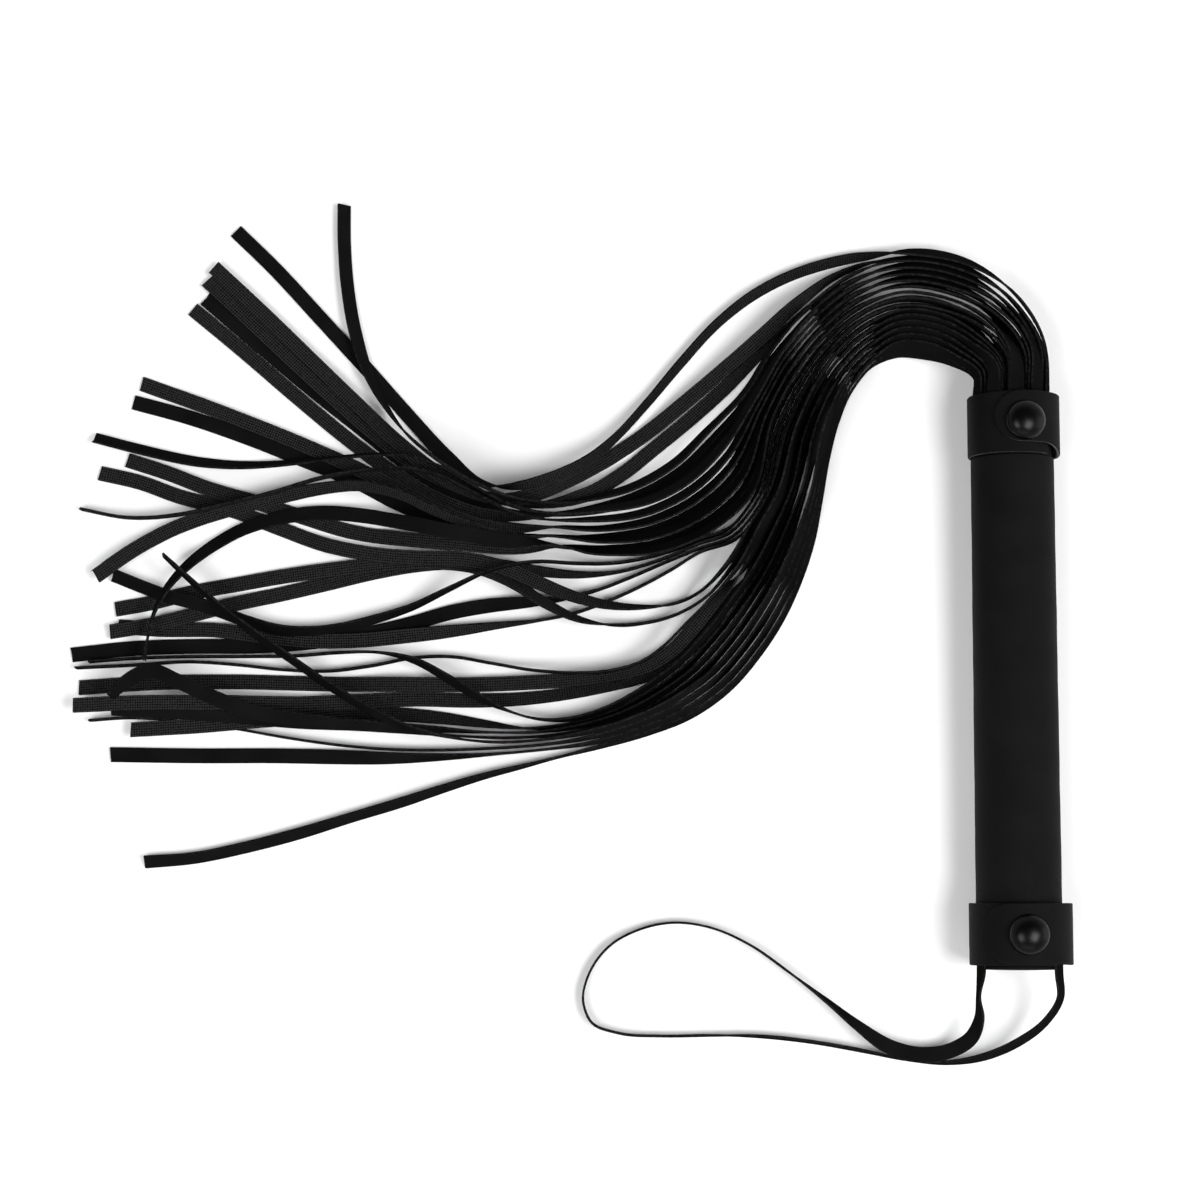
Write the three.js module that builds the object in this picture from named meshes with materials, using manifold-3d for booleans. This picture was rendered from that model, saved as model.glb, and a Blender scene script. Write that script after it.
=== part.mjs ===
// A short whip with many flat falls: a wrapped handle, a riveted collar at each end, a wrist strap and
// thirty falls. Millimetres, +Z up. The handle lies along Y on the surface z = 0, with its middle above
// the origin.
import * as THREE from "three";
import { mergeVertices } from "three/addons/utils/BufferGeometryUtils.js";
import Module from "manifold-3d";

const wasm = await Module();
wasm.setup();

// ---- Driving dimensions -------------------------------------------------
const HANDLE_LENGTH = 183;
const CORE_RADIUS = 10.5;
const SPIGOT_RADIUS = 8.1; // the core's thinner top end, which the falls lie round
const SLEEVE_RADIUS = { top: 13.3, bottom: 13.6 };
const COLLAR = { width: 19.5, thickness: 1.1, lap: 0.35 }; // lap is the slack under the outer end
const TOP_COLLAR_BORE = 13.1;
const BOTTOM_COLLAR_BORE = 14.7;
const GAP = 0.3; // between touching pieces
const PARED_RADIUS = 13; // the sleeve's thinner end under the bottom collar, with room for the wrist strap
const RIVET = {
  capRadius: 6.4,
  capHeight: 4.6,
  capRim: 0.6,
  postRadius: 1.5,
  headRadius: 3.4,
  headHeight: 0.6,
  sunk: 0.5, // how far the cap is pulled into the leather
  socketDepth: 3,
  engagement: 2.6, // how much of the post is inside the cap
};
const STRIP = { width: 4.8, thickness: 0.75 };
const ROOT_LENGTH = 15; // of each fall, inside the top collar
const ROLL_FIRST = 2.8; // how much sooner a fall turns on edge than it moves into its row
const RINGS = [8.9, 10.3, 11.7]; // radii of the three rings of fall roots round the spigot
const AXIS_HEIGHT = BOTTOM_COLLAR_BORE + COLLAR.thickness;
const HALF = HANDLE_LENGTH / 2;
const SPIGOT_START = HALF - COLLAR.width;

// ---- Materials ----------------------------------------------------------
const matt = (color, roughness) => new THREE.MeshStandardMaterial({ color, roughness, metalness: 0 });
const LEATHER = matt(0x0c0c0c, 0.55);
const STRAP = matt(0x0f0f0f, 0.6);
const WOOD = matt(0xb58a5a, 0.8);
const PAINTED = new THREE.MeshStandardMaterial({ color: 0x101010, roughness: 0.35, metalness: 0.4 });

// ---- Solids -------------------------------------------------------------
const toSolid = (geometry) => {
  const bare = geometry.clone();
  bare.deleteAttribute("normal");
  bare.deleteAttribute("uv");
  const merged = mergeVertices(bare, 1e-4);
  return new wasm.Manifold(
    new wasm.Mesh({
      numProp: 3,
      vertProperties: new Float32Array(merged.attributes.position.array),
      triVerts: new Uint32Array(merged.index.array),
    }),
  );
};

const toGeometry = (solid) => {
  const mesh = solid.getMesh();
  const geometry = new THREE.BufferGeometry();
  geometry.setAttribute("position", new THREE.BufferAttribute(mesh.vertProperties, 3));
  geometry.setIndex(new THREE.BufferAttribute(mesh.triVerts, 1));
  geometry.computeVertexNormals();
  return geometry;
};

// A closed body through a list of four-cornered sections, each of which runs the same way round.
const loft = (sections) => {
  const [a, b, c] = sections[0];
  const travel = sections[1][0].clone().sub(a);
  const turnsOut = new THREE.Vector3().crossVectors(b.clone().sub(a), c.clone().sub(b)).dot(travel) > 0;
  const corners = turnsOut ? sections : sections.map((section) => section.toReversed());
  const position = corners.flat().flatMap((corner) => corner.toArray());
  const index = [0, 2, 1, 0, 3, 2];
  const last = 4 * (sections.length - 1);
  index.push(last, last + 1, last + 2, last, last + 2, last + 3);
  for (let i = 0; i < sections.length - 1; i++) {
    for (let k = 0; k < 4; k++) {
      const a = 4 * i + k;
      const b = 4 * i + ((k + 1) % 4);
      // Opposite sides are cut along the same diagonal, so that a twisted strip's sides stay apart.
      if (k < 2) index.push(a, b, b + 4, a, b + 4, a + 4);
      else index.push(a, b, a + 4, b, b + 4, a + 4);
    }
  }
  const geometry = new THREE.BufferGeometry();
  geometry.setAttribute("position", new THREE.BufferAttribute(new Float32Array(position), 3));
  geometry.setIndex(index);
  geometry.computeVertexNormals();
  return geometry;
};

// A turned body about a frame's Y axis, from [radius, y] pairs that start and end on the axis or close
// on themselves.
const turnedAbout = (frame, profile, segments) => {
  const points = profile.map(([radius, y]) => new THREE.Vector2(radius, y));
  return new THREE.LatheGeometry(points, segments).applyMatrix4(frame);
};

// A turned body about the handle's axis.
const onAxis = new THREE.Matrix4().makeTranslation(0, 0, AXIS_HEIGHT);
const turned = (profile) => turnedAbout(onAxis, profile, 32);

const root = new THREE.Group();
const add = (name, geometry, material) => {
  const mesh = new THREE.Mesh(geometry, material);
  mesh.name = name;
  root.add(mesh);
};

// A frame on the handle's axis at y, with its Y axis pointing out at an angle round the handle.
const rivetFrame = (y, angle) =>
  new THREE.Matrix4()
    .makeTranslation(0, y, AXIS_HEIGHT)
    .multiply(new THREE.Matrix4().makeRotationY(THREE.MathUtils.degToRad(90 - angle)))
    .multiply(new THREE.Matrix4().makeRotationX(Math.PI / 2));

// ---- Handle -------------------------------------------------------------
const discThickness = 1.2;
const discBevel = 0.5;
const buttFace = -HALF;
const coreStart = buttFace + discThickness + GAP;
const coreEnd = HALF - 1;
const sleeveEnd = SPIGOT_START - 2 * GAP;
const paredEnd = -HALF + COLLAR.width - 1;

add(
  "handle_core",
  turned([
    [0, coreStart],
    [CORE_RADIUS, coreStart],
    [CORE_RADIUS, SPIGOT_START - GAP],
    [SPIGOT_RADIUS, SPIGOT_START - GAP],
    [SPIGOT_RADIUS, coreEnd],
    [0, coreEnd],
  ]),
  WOOD,
);
add(
  "butt_disc",
  turned([
    [0, buttFace],
    [PARED_RADIUS - discBevel, buttFace],
    [PARED_RADIUS, buttFace + discBevel],
    [PARED_RADIUS, buttFace + discThickness],
    [0, buttFace + discThickness],
  ]),
  LEATHER,
);
add(
  "handle_sleeve",
  turned([
    [CORE_RADIUS + GAP, coreStart],
    [PARED_RADIUS, coreStart],
    [PARED_RADIUS, paredEnd],
    [SLEEVE_RADIUS.bottom, paredEnd + 1],
    [SLEEVE_RADIUS.top, sleeveEnd],
    [CORE_RADIUS + GAP, sleeveEnd],
    [CORE_RADIUS + GAP, coreStart],
  ]),
  LEATHER,
);

// ---- Collars and rivets -------------------------------------------------
const CAP_STEPS = 6;
const COLLAR_STEPS = 48;
const UNDERLAP = 38; // degrees from the rivet to the inner end of a collar's strap
const RISE = 40; // degrees over which the outer end climbs onto the inner end
const RISE_MARGIN = 8; // degrees by which it is up before it gets there
const NARROWEST = 0.14; // of the half width, at the flap's tip
const BORE_REACH = 8; // how far past the leather the rivet's clearances are cut

// A cylinder along a rivet's axis, between two radii of the handle.
const rivetHole = (frame, radius, low, high) =>
  toSolid(
    new THREE.CylinderGeometry(radius, radius, high - low, 18)
      .translate(0, (low + high) / 2, 0)
      .applyMatrix4(frame),
  );

// A collar is one strap wound once round the handle. Its outer end is a rounded flap over its inner end.
const collar = ({ name, y, bore, rivetAngle, flapEnd, flapStart, taper }) => {
  const { width, thickness, lap } = COLLAR;
  const { capRadius, capHeight, capRim, postRadius, headRadius, headHeight } = RIVET;
  const turn = 360;
  const from = rivetAngle - UNDERLAP;
  const to = turn + flapEnd;
  const tipRadius = width / 2 - taper;
  const sections = [];
  for (let i = 0; i <= COLLAR_STEPS; i++) {
    const angle = THREE.MathUtils.lerp(from, to, i / COLLAR_STEPS);
    const radians = THREE.MathUtils.degToRad(angle);
    const rise = THREE.MathUtils.smoothstep(angle, turn - RISE, turn + from - RISE_MARGIN);
    const inner = bore + rise * (thickness + lap);
    const left = THREE.MathUtils.degToRad(to - angle) * inner; // still to go to the flap's tip
    const inTip = Math.max(0, 1 - left / tipRadius);
    const round = Math.max(NARROWEST, Math.sqrt(1 - inTip ** 2));
    const narrow = taper * THREE.MathUtils.smoothstep(angle, turn, turn + flapStart);
    const low = y - width / 2 + 2 * narrow;
    const high = y + width / 2;
    const middle = (low + high) / 2;
    const half = ((high - low) / 2) * round;
    const corner = (radius, along) =>
      new THREE.Vector3(Math.cos(radians) * radius, along, AXIS_HEIGHT + Math.sin(radians) * radius);
    sections.push([
      corner(inner, middle - half),
      corner(inner, middle + half),
      corner(inner + thickness, middle + half),
      corner(inner + thickness, middle - half),
    ]);
  }
  const frame = rivetFrame(y, rivetAngle);
  const seat = bore + 2 * thickness + lap - RIVET.sunk;
  const headTop = bore - GAP / 3;
  const band = toSolid(loft(sections))
    .subtract(rivetHole(frame, postRadius + GAP, headTop, bore + BORE_REACH))
    .subtract(rivetHole(frame, headRadius + GAP, headTop - headHeight, headTop + GAP))
    .subtract(rivetHole(frame, capRadius + GAP, seat - GAP, seat + BORE_REACH));
  add(name, toGeometry(band), LEATHER);

  const capProfile = [
    [0, seat + RIVET.socketDepth],
    [postRadius + GAP, seat + RIVET.socketDepth],
    [postRadius + GAP, seat],
    [capRadius - GAP, seat],
  ];
  for (let i = 0; i <= CAP_STEPS; i++) {
    const a = (i / CAP_STEPS) * (Math.PI / 2);
    const radius = i < CAP_STEPS ? capRadius * Math.cos(a) : 0;
    capProfile.push([radius, seat + capRim + (capHeight - capRim) * Math.sin(a)]);
  }
  add(name.replace("collar", "rivet_cap"), turnedAbout(frame, capProfile, 20), PAINTED);
  const postProfile = [
    [0, headTop - headHeight],
    [headRadius, headTop - headHeight],
    [headRadius, headTop],
    [postRadius, headTop],
    [postRadius, seat + RIVET.engagement],
    [0, seat + RIVET.engagement],
  ];
  add(name.replace("collar", "rivet_post"), turnedAbout(frame, postProfile, 14), PAINTED);
};

collar({
  name: "collar_top",
  y: HALF - COLLAR.width / 2 - 0.3,
  bore: TOP_COLLAR_BORE,
  rivetAngle: 82,
  flapStart: 55,
  flapEnd: 118,
  taper: 1.6,
});
collar({
  name: "collar_bottom",
  y: -HALF + COLLAR.width / 2 + 1.3,
  bore: BOTTOM_COLLAR_BORE,
  rivetAngle: 88,
  flapStart: 55,
  flapEnd: 139,
  taper: 0.3,
});

// ---- Smooth routes ------------------------------------------------------
// A smooth line through points of any number of coordinates, the first two of them level. Each span
// between two points is cut into as many pieces as piecesOf says for its place and its length.
const smooth = (points, piecesOf) => {
  const last = points.length - 1;
  const gaps = points.slice(1).map((p, i) => Math.hypot(p[0] - points[i][0], p[1] - points[i][1]));
  const slopes = points.map((p, i) => {
    const before = gaps[Math.max(0, i - 1)];
    const after = gaps[Math.min(last - 1, i)];
    return p.map((v, c) => {
      const fore = i < last ? (points[i + 1][c] - v) / after : (v - points[i - 1][c]) / before;
      const back = i > 0 ? (v - points[i - 1][c]) / before : fore;
      return (back * after + fore * before) / (before + after);
    });
  });
  const line = [points[0]];
  gaps.forEach((gap, i) => {
    const pieces = piecesOf(i, gap);
    for (let k = 1; k <= pieces; k++) {
      const t = k / pieces;
      const [t2, t3] = [t * t, t * t * t];
      line.push(
        points[i].map(
          (v, c) =>
            (2 * t3 - 3 * t2 + 1) * v +
            (t3 - 2 * t2 + t) * gap * slopes[i][c] +
            (3 * t2 - 2 * t3) * points[i + 1][c] +
            (t3 - t2) * gap * slopes[i + 1][c],
        ),
      );
    }
  });
  return line;
};

// The direction to the right of travel at each point of a route, level with the ground.
const rightOf = (route) =>
  route.map((_, i) => {
    const a = route[Math.max(0, i - 1)];
    const b = route[Math.min(route.length - 1, i + 1)];
    return new THREE.Vector3(b[1] - a[1], a[0] - b[0], 0).normalize();
  });

// A flat strip along a route of [x, y, z, roll]. Roll turns its smooth face: 0 to the right, 90 up,
// 180 to the left.
const strip = (route) => {
  const right = rightOf(route);
  const up = new THREE.Vector3(0, 0, 1);
  const sections = route.map(([x, y, z, roll], i) => {
    const angle = THREE.MathUtils.degToRad(roll);
    const [cos, sin] = [Math.cos(angle), Math.sin(angle)];
    const face = right[i].clone().multiplyScalar(cos).addScaledVector(up, sin);
    const side = right[i].clone().multiplyScalar(-sin).addScaledVector(up, cos);
    const corner = (a, b) =>
      new THREE.Vector3(x, y, z)
        .addScaledVector(face, (a * STRIP.thickness) / 2)
        .addScaledVector(side, (b * STRIP.width) / 2);
    return [corner(-1, -1), corner(-1, 1), corner(1, 1), corner(1, -1)];
  });
  return loft(sections);
};

// ---- Falls --------------------------------------------------------------
// Thirty falls leave the collar in three rings, turn on edge into two rows, and merge into one row of
// lanes.
// A station is [outer x, outer y, inner x, inner y, height, share still in the ring, share still in two
// rows, lean]. Lean is 0 for strips that stand on edge and 1 for strips that lie flat.
const FALLS = 30;
const BEND = [
  [13, HALF - ROOT_LENGTH, -13, HALF - ROOT_LENGTH, AXIS_HEIGHT, 1, 1, 0],
  [13, HALF - 8, -13, HALF - 8, AXIS_HEIGHT, 1, 1, 0],
  [13, HALF + 1, -13, HALF + 1, AXIS_HEIGHT, 1, 1, 0],
  [14, 109.5, -14.5, 96.9, 15.3, 0.8, 1, 0],
  [3, 126.8, -19.8, 102.5, 12.9, 0.35, 1, 0.1],
  [-14, 137, -27.5, 107.5, 9.6, 0, 1, 0.4],
  [-32, 140.6, -35.5, 108.3, 7.2, 0, 1, 0.35],
  [-50, 136, -43, 104.5, 5.4, 0, 0.9, 0],
  [-66, 125.2, -49.8, 96.6, 3.3, 0, 0.3, 0],
  [-79, 111, -55, 86, 3.3, 0, 0.3, 0.15],
  [-89.5, 95, -58.5, 74, 3.3, 0, 0.3, 0.25],
];
const SETTLED = 8; // the first station where the falls lie on the surface
const ON_FLOOR = 0.1; // under the lowest falls
const CLEAR = 0.5; // between falls that cross
const HUMP = 4; // how many steps before and after a crossing the rise begins
const NESTED_LIFT = 1.6; // how far every other fall stands above its neighbours in a branch
const ROW_GAP = 0.5; // between the two rows

// Past the bend the lanes part. A branch is the lanes it takes, and stations of [outer x, outer y,
// inner x, inner y, lean].
const BRANCHES = [
  {
    lanes: [3, 12],
    stations: [
      [-97.5, 82, -84.5, 61, 0.3],
      [-108, 71.5, -96, 50.6, 0.4],
      [-120, 64.2, -112, 43.6, 0.4],
      [-134, 59.3, -131, 42, 0.3],
      [-148, 57, -147, 43, 0.1],
    ],
  },
  {
    lanes: [13, 16],
    stations: [
      [-83, 59.8, -79.8, 57, 0],
      [-91, 50.4, -88.6, 46.8, 0],
      [-101, 46.6, -100.2, 42.6, 0],
    ],
  },
  {
    lanes: [17, 21],
    stations: [
      [-78.2, 59, -72.4, 60, 0.2],
      [-85, 47.5, -77.8, 48.6, 0.25],
      [-92.4, 36.8, -84.4, 36.2, 0.1],
    ],
  },
  {
    lanes: [22, 29],
    stations: [
      [-70.5, 62, -60.5, 60, 0.1],
      [-75.5, 50, -63.5, 46.5, 0.2],
      [-82, 37.5, -68, 33, 0.2],
      [-90, 26, -74, 20.3, 0.2],
      [-99, 14.8, -81.5, 9, 0.2],
      [-108.5, 5, -91, -1.8, 0.2],
      [-119.5, -2.8, -103, -10.3, 0.2],
      [-131, -8.8, -117.5, -16.2, 0.15],
      [-143, -12, -133, -20.6, 0.1],
    ],
  },
];

// Each fall, from the outer lane to the inner one: the station where it leaves the bend, its own points
// after its branch, as [x, y, flatness], and its place in the order in which the falls are laid down.
// Flatness is 0 on edge, 1 flat with the smooth face up, and -1 flat with the fabric back up.
const FALL_ENDS = [
  {
    order: 19,
    leaves: 6,
    points: [
      [-45, 140.8, -0.2], [-58, 138.3, -0.35], [-70, 134.3, -0.35], [-82, 128, -0.35], [-94, 118.5, -0.3],
      [-106, 105.3, -0.3], [-118, 90.8, -0.25], [-128, 79.3, -0.25], [-138, 70.4, -0.4], [-149, 64.6, -0.5],
      [-161, 62.3, -0.15], [-172, 65, 0.4], [-182, 73.5, 0.9], [-195, 87.5, 1], [-210, 104.5, 1],
      [-225, 121, 1], [-240, 137.3, 1], [-252.5, 149.5, 1],
    ],
  },
  {
    order: 15,
    leaves: 6,
    points: [
      [-46, 138, 0], [-57, 132.8, -0.2], [-68, 124, -0.5], [-80, 112.8, -0.8], [-92, 102.4, -1],
      [-105, 91.7, -1], [-118, 81.6, -1], [-130, 73.6, -1], [-142, 66, -1], [-153, 60.4, -0.8],
      [-165, 58.6, -0.4], [-176, 61.8, -0.5], [-186, 67.8, -0.8], [-197, 76.8, -1], [-211, 90.4, -1],
      [-226, 105, -1], [-242, 120.6, -1], [-259.5, 137, -1],
    ],
  },
  {
    order: 14,
    leaves: 8,
    points: [
      [-80, 108.2, -0.3], [-92, 96.6, -0.7], [-104, 86, -0.9], [-115, 77, -0.9], [-126, 68, -0.9],
      [-136, 61.4, -0.8], [-147, 58, -0.3], [-159, 57.2, 0], [-171, 59.5, 0], [-183, 64.8, -0.3],
      [-195, 72.6, -0.8], [-209, 84, -1], [-225, 98.3, -1], [-245, 117, -1], [-261.8, 132.8, -1],
    ],
  },
  {
    order: 26,
    points: [
      [-160, 57.8, 0], [-172, 62.3, 0], [-184, 69.5, 0], [-194, 78.5, 0], [-202, 89.5, 0.2],
      [-208, 100.5, 0.4], [-212.5, 114, 0.6], [-215.5, 130, 0.6], [-216.8, 145, 0.6], [-217, 158, 0.6],
    ],
  },
  {
    order: 13,
    points: [
      [-160, 55.8, 0.2], [-172, 58.8, 0.4], [-184, 64.5, 0.7], [-197, 73, 1], [-212, 84.8, 1],
      [-228, 97.6, 1], [-245, 112, 1], [-262.5, 127, 1],
    ],
  },
  {
    order: 16,
    points: [
      [-160, 53.6, -0.3], [-173, 55, -0.7], [-186, 60, -1], [-200, 69, -1], [-215, 80.2, -1],
      [-232, 94.3, -1], [-250, 109.8, -1], [-266.5, 123.5, -1],
    ],
  },
  {
    order: 25,
    points: [
      [-160, 55, 0], [-172, 61.5, 0], [-184, 68.5, 0], [-194, 72.3, 0.1], [-206, 73.3, 0.2],
      [-220, 72.8, 0.2], [-235, 71.6, 0.3], [-250, 71.3, 0.4], [-265, 72.6, 0.5], [-281, 76, 0.5],
      [-297.5, 80.3, 0.5],
    ],
  },
  {
    order: 24,
    points: [
      [-159, 52.8, 0], [-171, 58.8, 0], [-183, 65, 0], [-195, 68.3, 0], [-208, 68.3, 0],
      [-222, 66.3, 0], [-238, 61.6, 0], [-254, 57.5, 0], [-270, 54.2, 0], [-286, 53.8, 0],
      [-302, 57, 0],
    ],
  },
  {
    order: 18,
    points: [
      [-158, 48.6, -0.3], [-171, 50, -0.6], [-184, 54.6, -0.8], [-198, 62.3, -1], [-213, 70.6, -1],
      [-230, 78.3, -1], [-248, 85.6, -1], [-266, 92.5, -1], [-283, 98.7, -1],
    ],
  },
  {
    order: 17,
    points: [
      [-157, 46.6, 0.3], [-170, 47.5, 0.6], [-184, 51.8, 0.8], [-198, 58.6, 1], [-213, 66.6, 1],
      [-230, 73.6, 1], [-248, 80.8, 1], [-267, 87.4, 1], [-285.5, 92.5, 1],
    ],
  },
  {
    order: 23,
    points: [
      [-158, 45.6, 0], [-171, 48, -0.2], [-184, 53.2, -0.3], [-198, 59.8, -0.3], [-211, 63.2, -0.4],
      [-225, 62.9, -0.5], [-240, 59.8, -0.6], [-255, 56, -0.7], [-270, 51, -0.8], [-283, 44, -0.9],
      [-296, 34.5, -1],
    ],
  },
  {
    order: 12,
    points: [
      [-158, 43.8, -0.5], [-171, 44, -0.9], [-185, 45.4, -1], [-200, 47.4, -1], [-215, 50, -1],
      [-230, 54.6, -1], [-245, 59.3, -1], [-260, 63.6, -1], [-274, 69, -1], [-287, 73.3, -1],
    ],
  },
  {
    order: 27,
    points: [
      [-163, 43.6, 1], [-178, 46.2, 1], [-193, 50.2, 1], [-208, 54, 1], [-223, 55.6, 0.9],
      [-238, 53.6, 0.8], [-251, 49.2, 0.7], [-262, 41.9, 0.6], [-270.5, 33, 0.4], [-276.5, 22, 0.2],
      [-279.5, 7, 0],
    ],
  },
  {
    order: 22,
    points: [
      [-112, 42.4, 0], [-126, 39.4, 0], [-140, 38.6, 0], [-154, 38.4, 0], [-168, 35.4, 0],
      [-181, 30.2, 0.1], [-194, 24.6, 0.2], [-207, 20.2, 0.3], [-221, 17.2, 0.3], [-235, 17, 0.4],
      [-248, 20.3, 0.5], [-260, 24.8, 0.6], [-272, 28, 0.6], [-291, 35.3, 0.6],
    ],
  },
  {
    order: 9,
    points: [
      [-113, 40.2, 0], [-126, 36.4, 0], [-140, 35.4, -0.2], [-153, 36.6, -0.4], [-165, 38.4, -0.6],
      [-178, 39.6, -0.8], [-192, 38.8, -1], [-206, 36.4, -1], [-221, 32.8, -1], [-236, 29.3, -1],
      [-251, 26, -1], [-265, 22.2, -1], [-278, 19, -0.8], [-291.5, 16.7, -0.8],
    ],
  },
  {
    order: 7,
    points: [
      [-111, 39.6, 0], [-122, 34.8, 0], [-134, 30.2, 0], [-145, 27.6, 0.1], [-156, 26.4, 0.4],
      [-168, 25.4, 0.7], [-181, 23.2, 1], [-195, 19.3, 1], [-210, 16, 1], [-226, 13.6, 1],
      [-244, 12.3, 1], [-264, 12.2, 1], [-284, 11.5, 1], [-304, 9.4, 1],
    ],
  },
  {
    order: 8,
    points: [
      [-109, 37.2, 0], [-119, 31.8, 0], [-130, 26.8, 0], [-141, 22.8, 0], [-153, 20.4, 0],
      [-166, 18.8, -0.2], [-180, 17, -0.5], [-195, 15.4, -0.8], [-210, 14, -0.9], [-226, 13.8, -1],
      [-242, 15.4, -1], [-258, 17.4, -1], [-274, 17.6, -1], [-289, 18.6, -1],
    ],
  },
  {
    order: 11,
    points: [
      [-100, 29.6, 0], [-108.5, 26, 0], [-118.5, 24.6, -0.2], [-130, 25, -0.4], [-142, 27.8, -0.6],
      [-153, 32, -0.8], [-164, 36.8, -0.9], [-176, 39.6, -1], [-190, 40.3, -1], [-205, 41.6, -1],
      [-220, 44.6, -1], [-237, 50.8, -1], [-254, 57.2, -1], [-270, 61.3, -1], [-283, 66, -1],
      [-296, 69, -1],
    ],
  },
  {
    order: 10,
    points: [
      [-98.4, 27.2, 0], [-107, 22.4, 0], [-117, 19.8, 0], [-128, 18.8, 0], [-140, 20.6, -0.3],
      [-151, 26, -0.5], [-161, 32.4, -0.6], [-172, 37.3, -0.8], [-186, 39.3, -1], [-202, 38.9, -1],
      [-218, 37.3, -1], [-234, 35.2, -1], [-250, 32.5, -1], [-266, 29.6, -1], [-279, 26.3, -1],
      [-290, 24.3, -1],
    ],
  },
  {
    order: 20,
    points: [
      [-97, 26.5, 0], [-105, 18.6, 0], [-112, 11.6, 0], [-119.5, 6.4, 0], [-129, 3.6, 0],
      [-141, 2.8, 0], [-154, 3.8, 0], [-167, 6.3, 0], [-180, 8.6, 0], [-193, 8.3, 0],
      [-206, 5.8, 0], [-220, 4, 0], [-235, 4.4, 0], [-250, 6, 0], [-266, 7, 0],
      [-282, 6, 0], [-302.5, 5, 0],
    ],
  },
  {
    order: 6,
    points: [
      [-95, 26.8, -0.7], [-102.5, 17.6, -1], [-109, 10.6, -0.9], [-117, 5.4, -0.8], [-127, 2.6, -0.7],
      [-138, 1.2, -0.8], [-151, 0.3, -0.9], [-166, -0.3, -1], [-184, -0.6, -1], [-204, -0.4, -1],
      [-226, 0, -1], [-250, 0.6, -1], [-275, 0.4, -1], [-301.5, -1.3, -1],
    ],
  },
  {
    order: 5,
    points: [
      [-92.5, 24.8, -0.7], [-100, 15.4, -1], [-107.5, 8, -0.8], [-117, 2.6, -0.6], [-129, -0.8, -0.5],
      [-143, -3.3, -0.6], [-158, -5, -0.7], [-172, -5.5, -0.8], [-190, -5.2, -0.9], [-210, -5.9, -1],
      [-232, -6.8, -1], [-256, -6.8, -1], [-280, -6.8, -1], [-302, -7.5, -1],
    ],
  },
  {
    order: 21,
    points: [
      [-152.5, -11.8, 0], [-162, -9.2, 0], [-172, -4.6, 0.3], [-182, 1.4, 0.3], [-192, 6.8, 0.2],
      [-203, 9.6, 0], [-217, 9.9, 0], [-232, 8.9, 0], [-250, 8.7, 0], [-270, 8.6, 0],
      [-285, 8, 0], [-298, 7, 0],
    ],
  },
  {
    order: 3,
    points: [
      [-155, -14.6, 0], [-169, -13.2, -0.3], [-184, -11.2, -0.6], [-202, -9.8, -0.8], [-221, -10.2, -0.9],
      [-240, -12, -1], [-262, -14, -1], [-284, -15.2, -1],
    ],
  },
  {
    order: 28,
    points: [
      [-154, -16, 0], [-170, -16, 0], [-186, -15.2, 0.2], [-200, -14.6, 0.4], [-215, -13.6, 0.5],
      [-230, -12, 0.6], [-244, -9.8, 0.8], [-257, -5, 0.9], [-268, 0, 1], [-277, 3.3, 0.9],
      [-284, 0, 0.6], [-289, -5, 0.2],
    ],
  },
  {
    order: 4,
    points: [
      [-152, -17.2, 0], [-167, -17.6, 0], [-182, -16.8, 0], [-197, -15.2, 0.2], [-212, -13.8, 0.4],
      [-230, -13, 0.5], [-250, -11.4, 0.5], [-272, -9.6, 0.6], [-290, -8.6, 0.6],
    ],
  },
  {
    order: 29,
    points: [
      [-151, -18.6, 0], [-167, -19.2, 0], [-182, -17.8, 0], [-195, -14.6, 0.2], [-207, -8.9, 0.3],
      [-219, -1.7, 0.3], [-231, 6.6, 0.3], [-243, 14.9, 0.3], [-255, 24.3, 0.2], [-264, 32.2, 0.2],
      [-273, 40.5, 0.1],
    ],
  },
  {
    order: 2,
    points: [
      [-150, -20, 0], [-166, -21, 0], [-183, -21.6, 0], [-200, -21.4, 0], [-217, -20, 0],
      [-234, -17.6, 0], [-251, -14.6, 0], [-269, -12.2, 0], [-285, -11.2, 0], [-297.5, -12, 0],
    ],
  },
  {
    order: 1,
    points: [
      [-149, -21.4, 0], [-165, -22.8, 0], [-182, -23.8, 0.2], [-200, -24.2, 0.5], [-218, -23.8, 0.8],
      [-238, -23.4, 1], [-262, -23.4, 1], [-291, -23, 1],
    ],
  },
  {
    order: 0,
    points: [
      [-147, -24.2, 0], [-158, -27, 0.1], [-170, -30, 0.2], [-183, -34, 0.3], [-197, -38.6, 0.4],
      [-213, -43.4, 0.4], [-230, -48.6, 0.5], [-247, -53, 0.5], [-263, -56.3, 0.5], [-279, -57.6, 0.6],
    ],
  },
];

// Where a fall's root lies in the rings: which side its smooth face turns to on edge, its angle and its
// radius.
const OUTWARD = { upper: [18, 54, 90], lower: [-18, -54] };
const INWARD = { upper: [126, 162], lower: [270, 234, 198] };
const slotsAt = (edge, angles, radii) =>
  angles.flatMap((angle) => radii.map((radius) => ({ edge, angle, radius })));
const rootSlots = (row) => [
  ...slotsAt(0, OUTWARD[row], RINGS.toReversed()),
  ...slotsAt(180, INWARD[row], RINGS),
];
const SLOTS = { upper: rootSlots("upper"), lower: rootSlots("lower") };
const between = (a, b, t) => a + (b - a) * t;
const branchOf = (lane) => BRANCHES.find(({ lanes }) => lanes[0] <= lane && lane <= lanes[1]);

// Half of a strip's size across its route and up, at a roll.
const halfAcross = (roll) => {
  const angle = THREE.MathUtils.degToRad(roll);
  const [cos, sin] = [Math.abs(Math.cos(angle)), Math.abs(Math.sin(angle))];
  return {
    across: (STRIP.width * sin + STRIP.thickness * cos) / 2,
    up: (STRIP.width * cos + STRIP.thickness * sin) / 2,
  };
};

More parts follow.
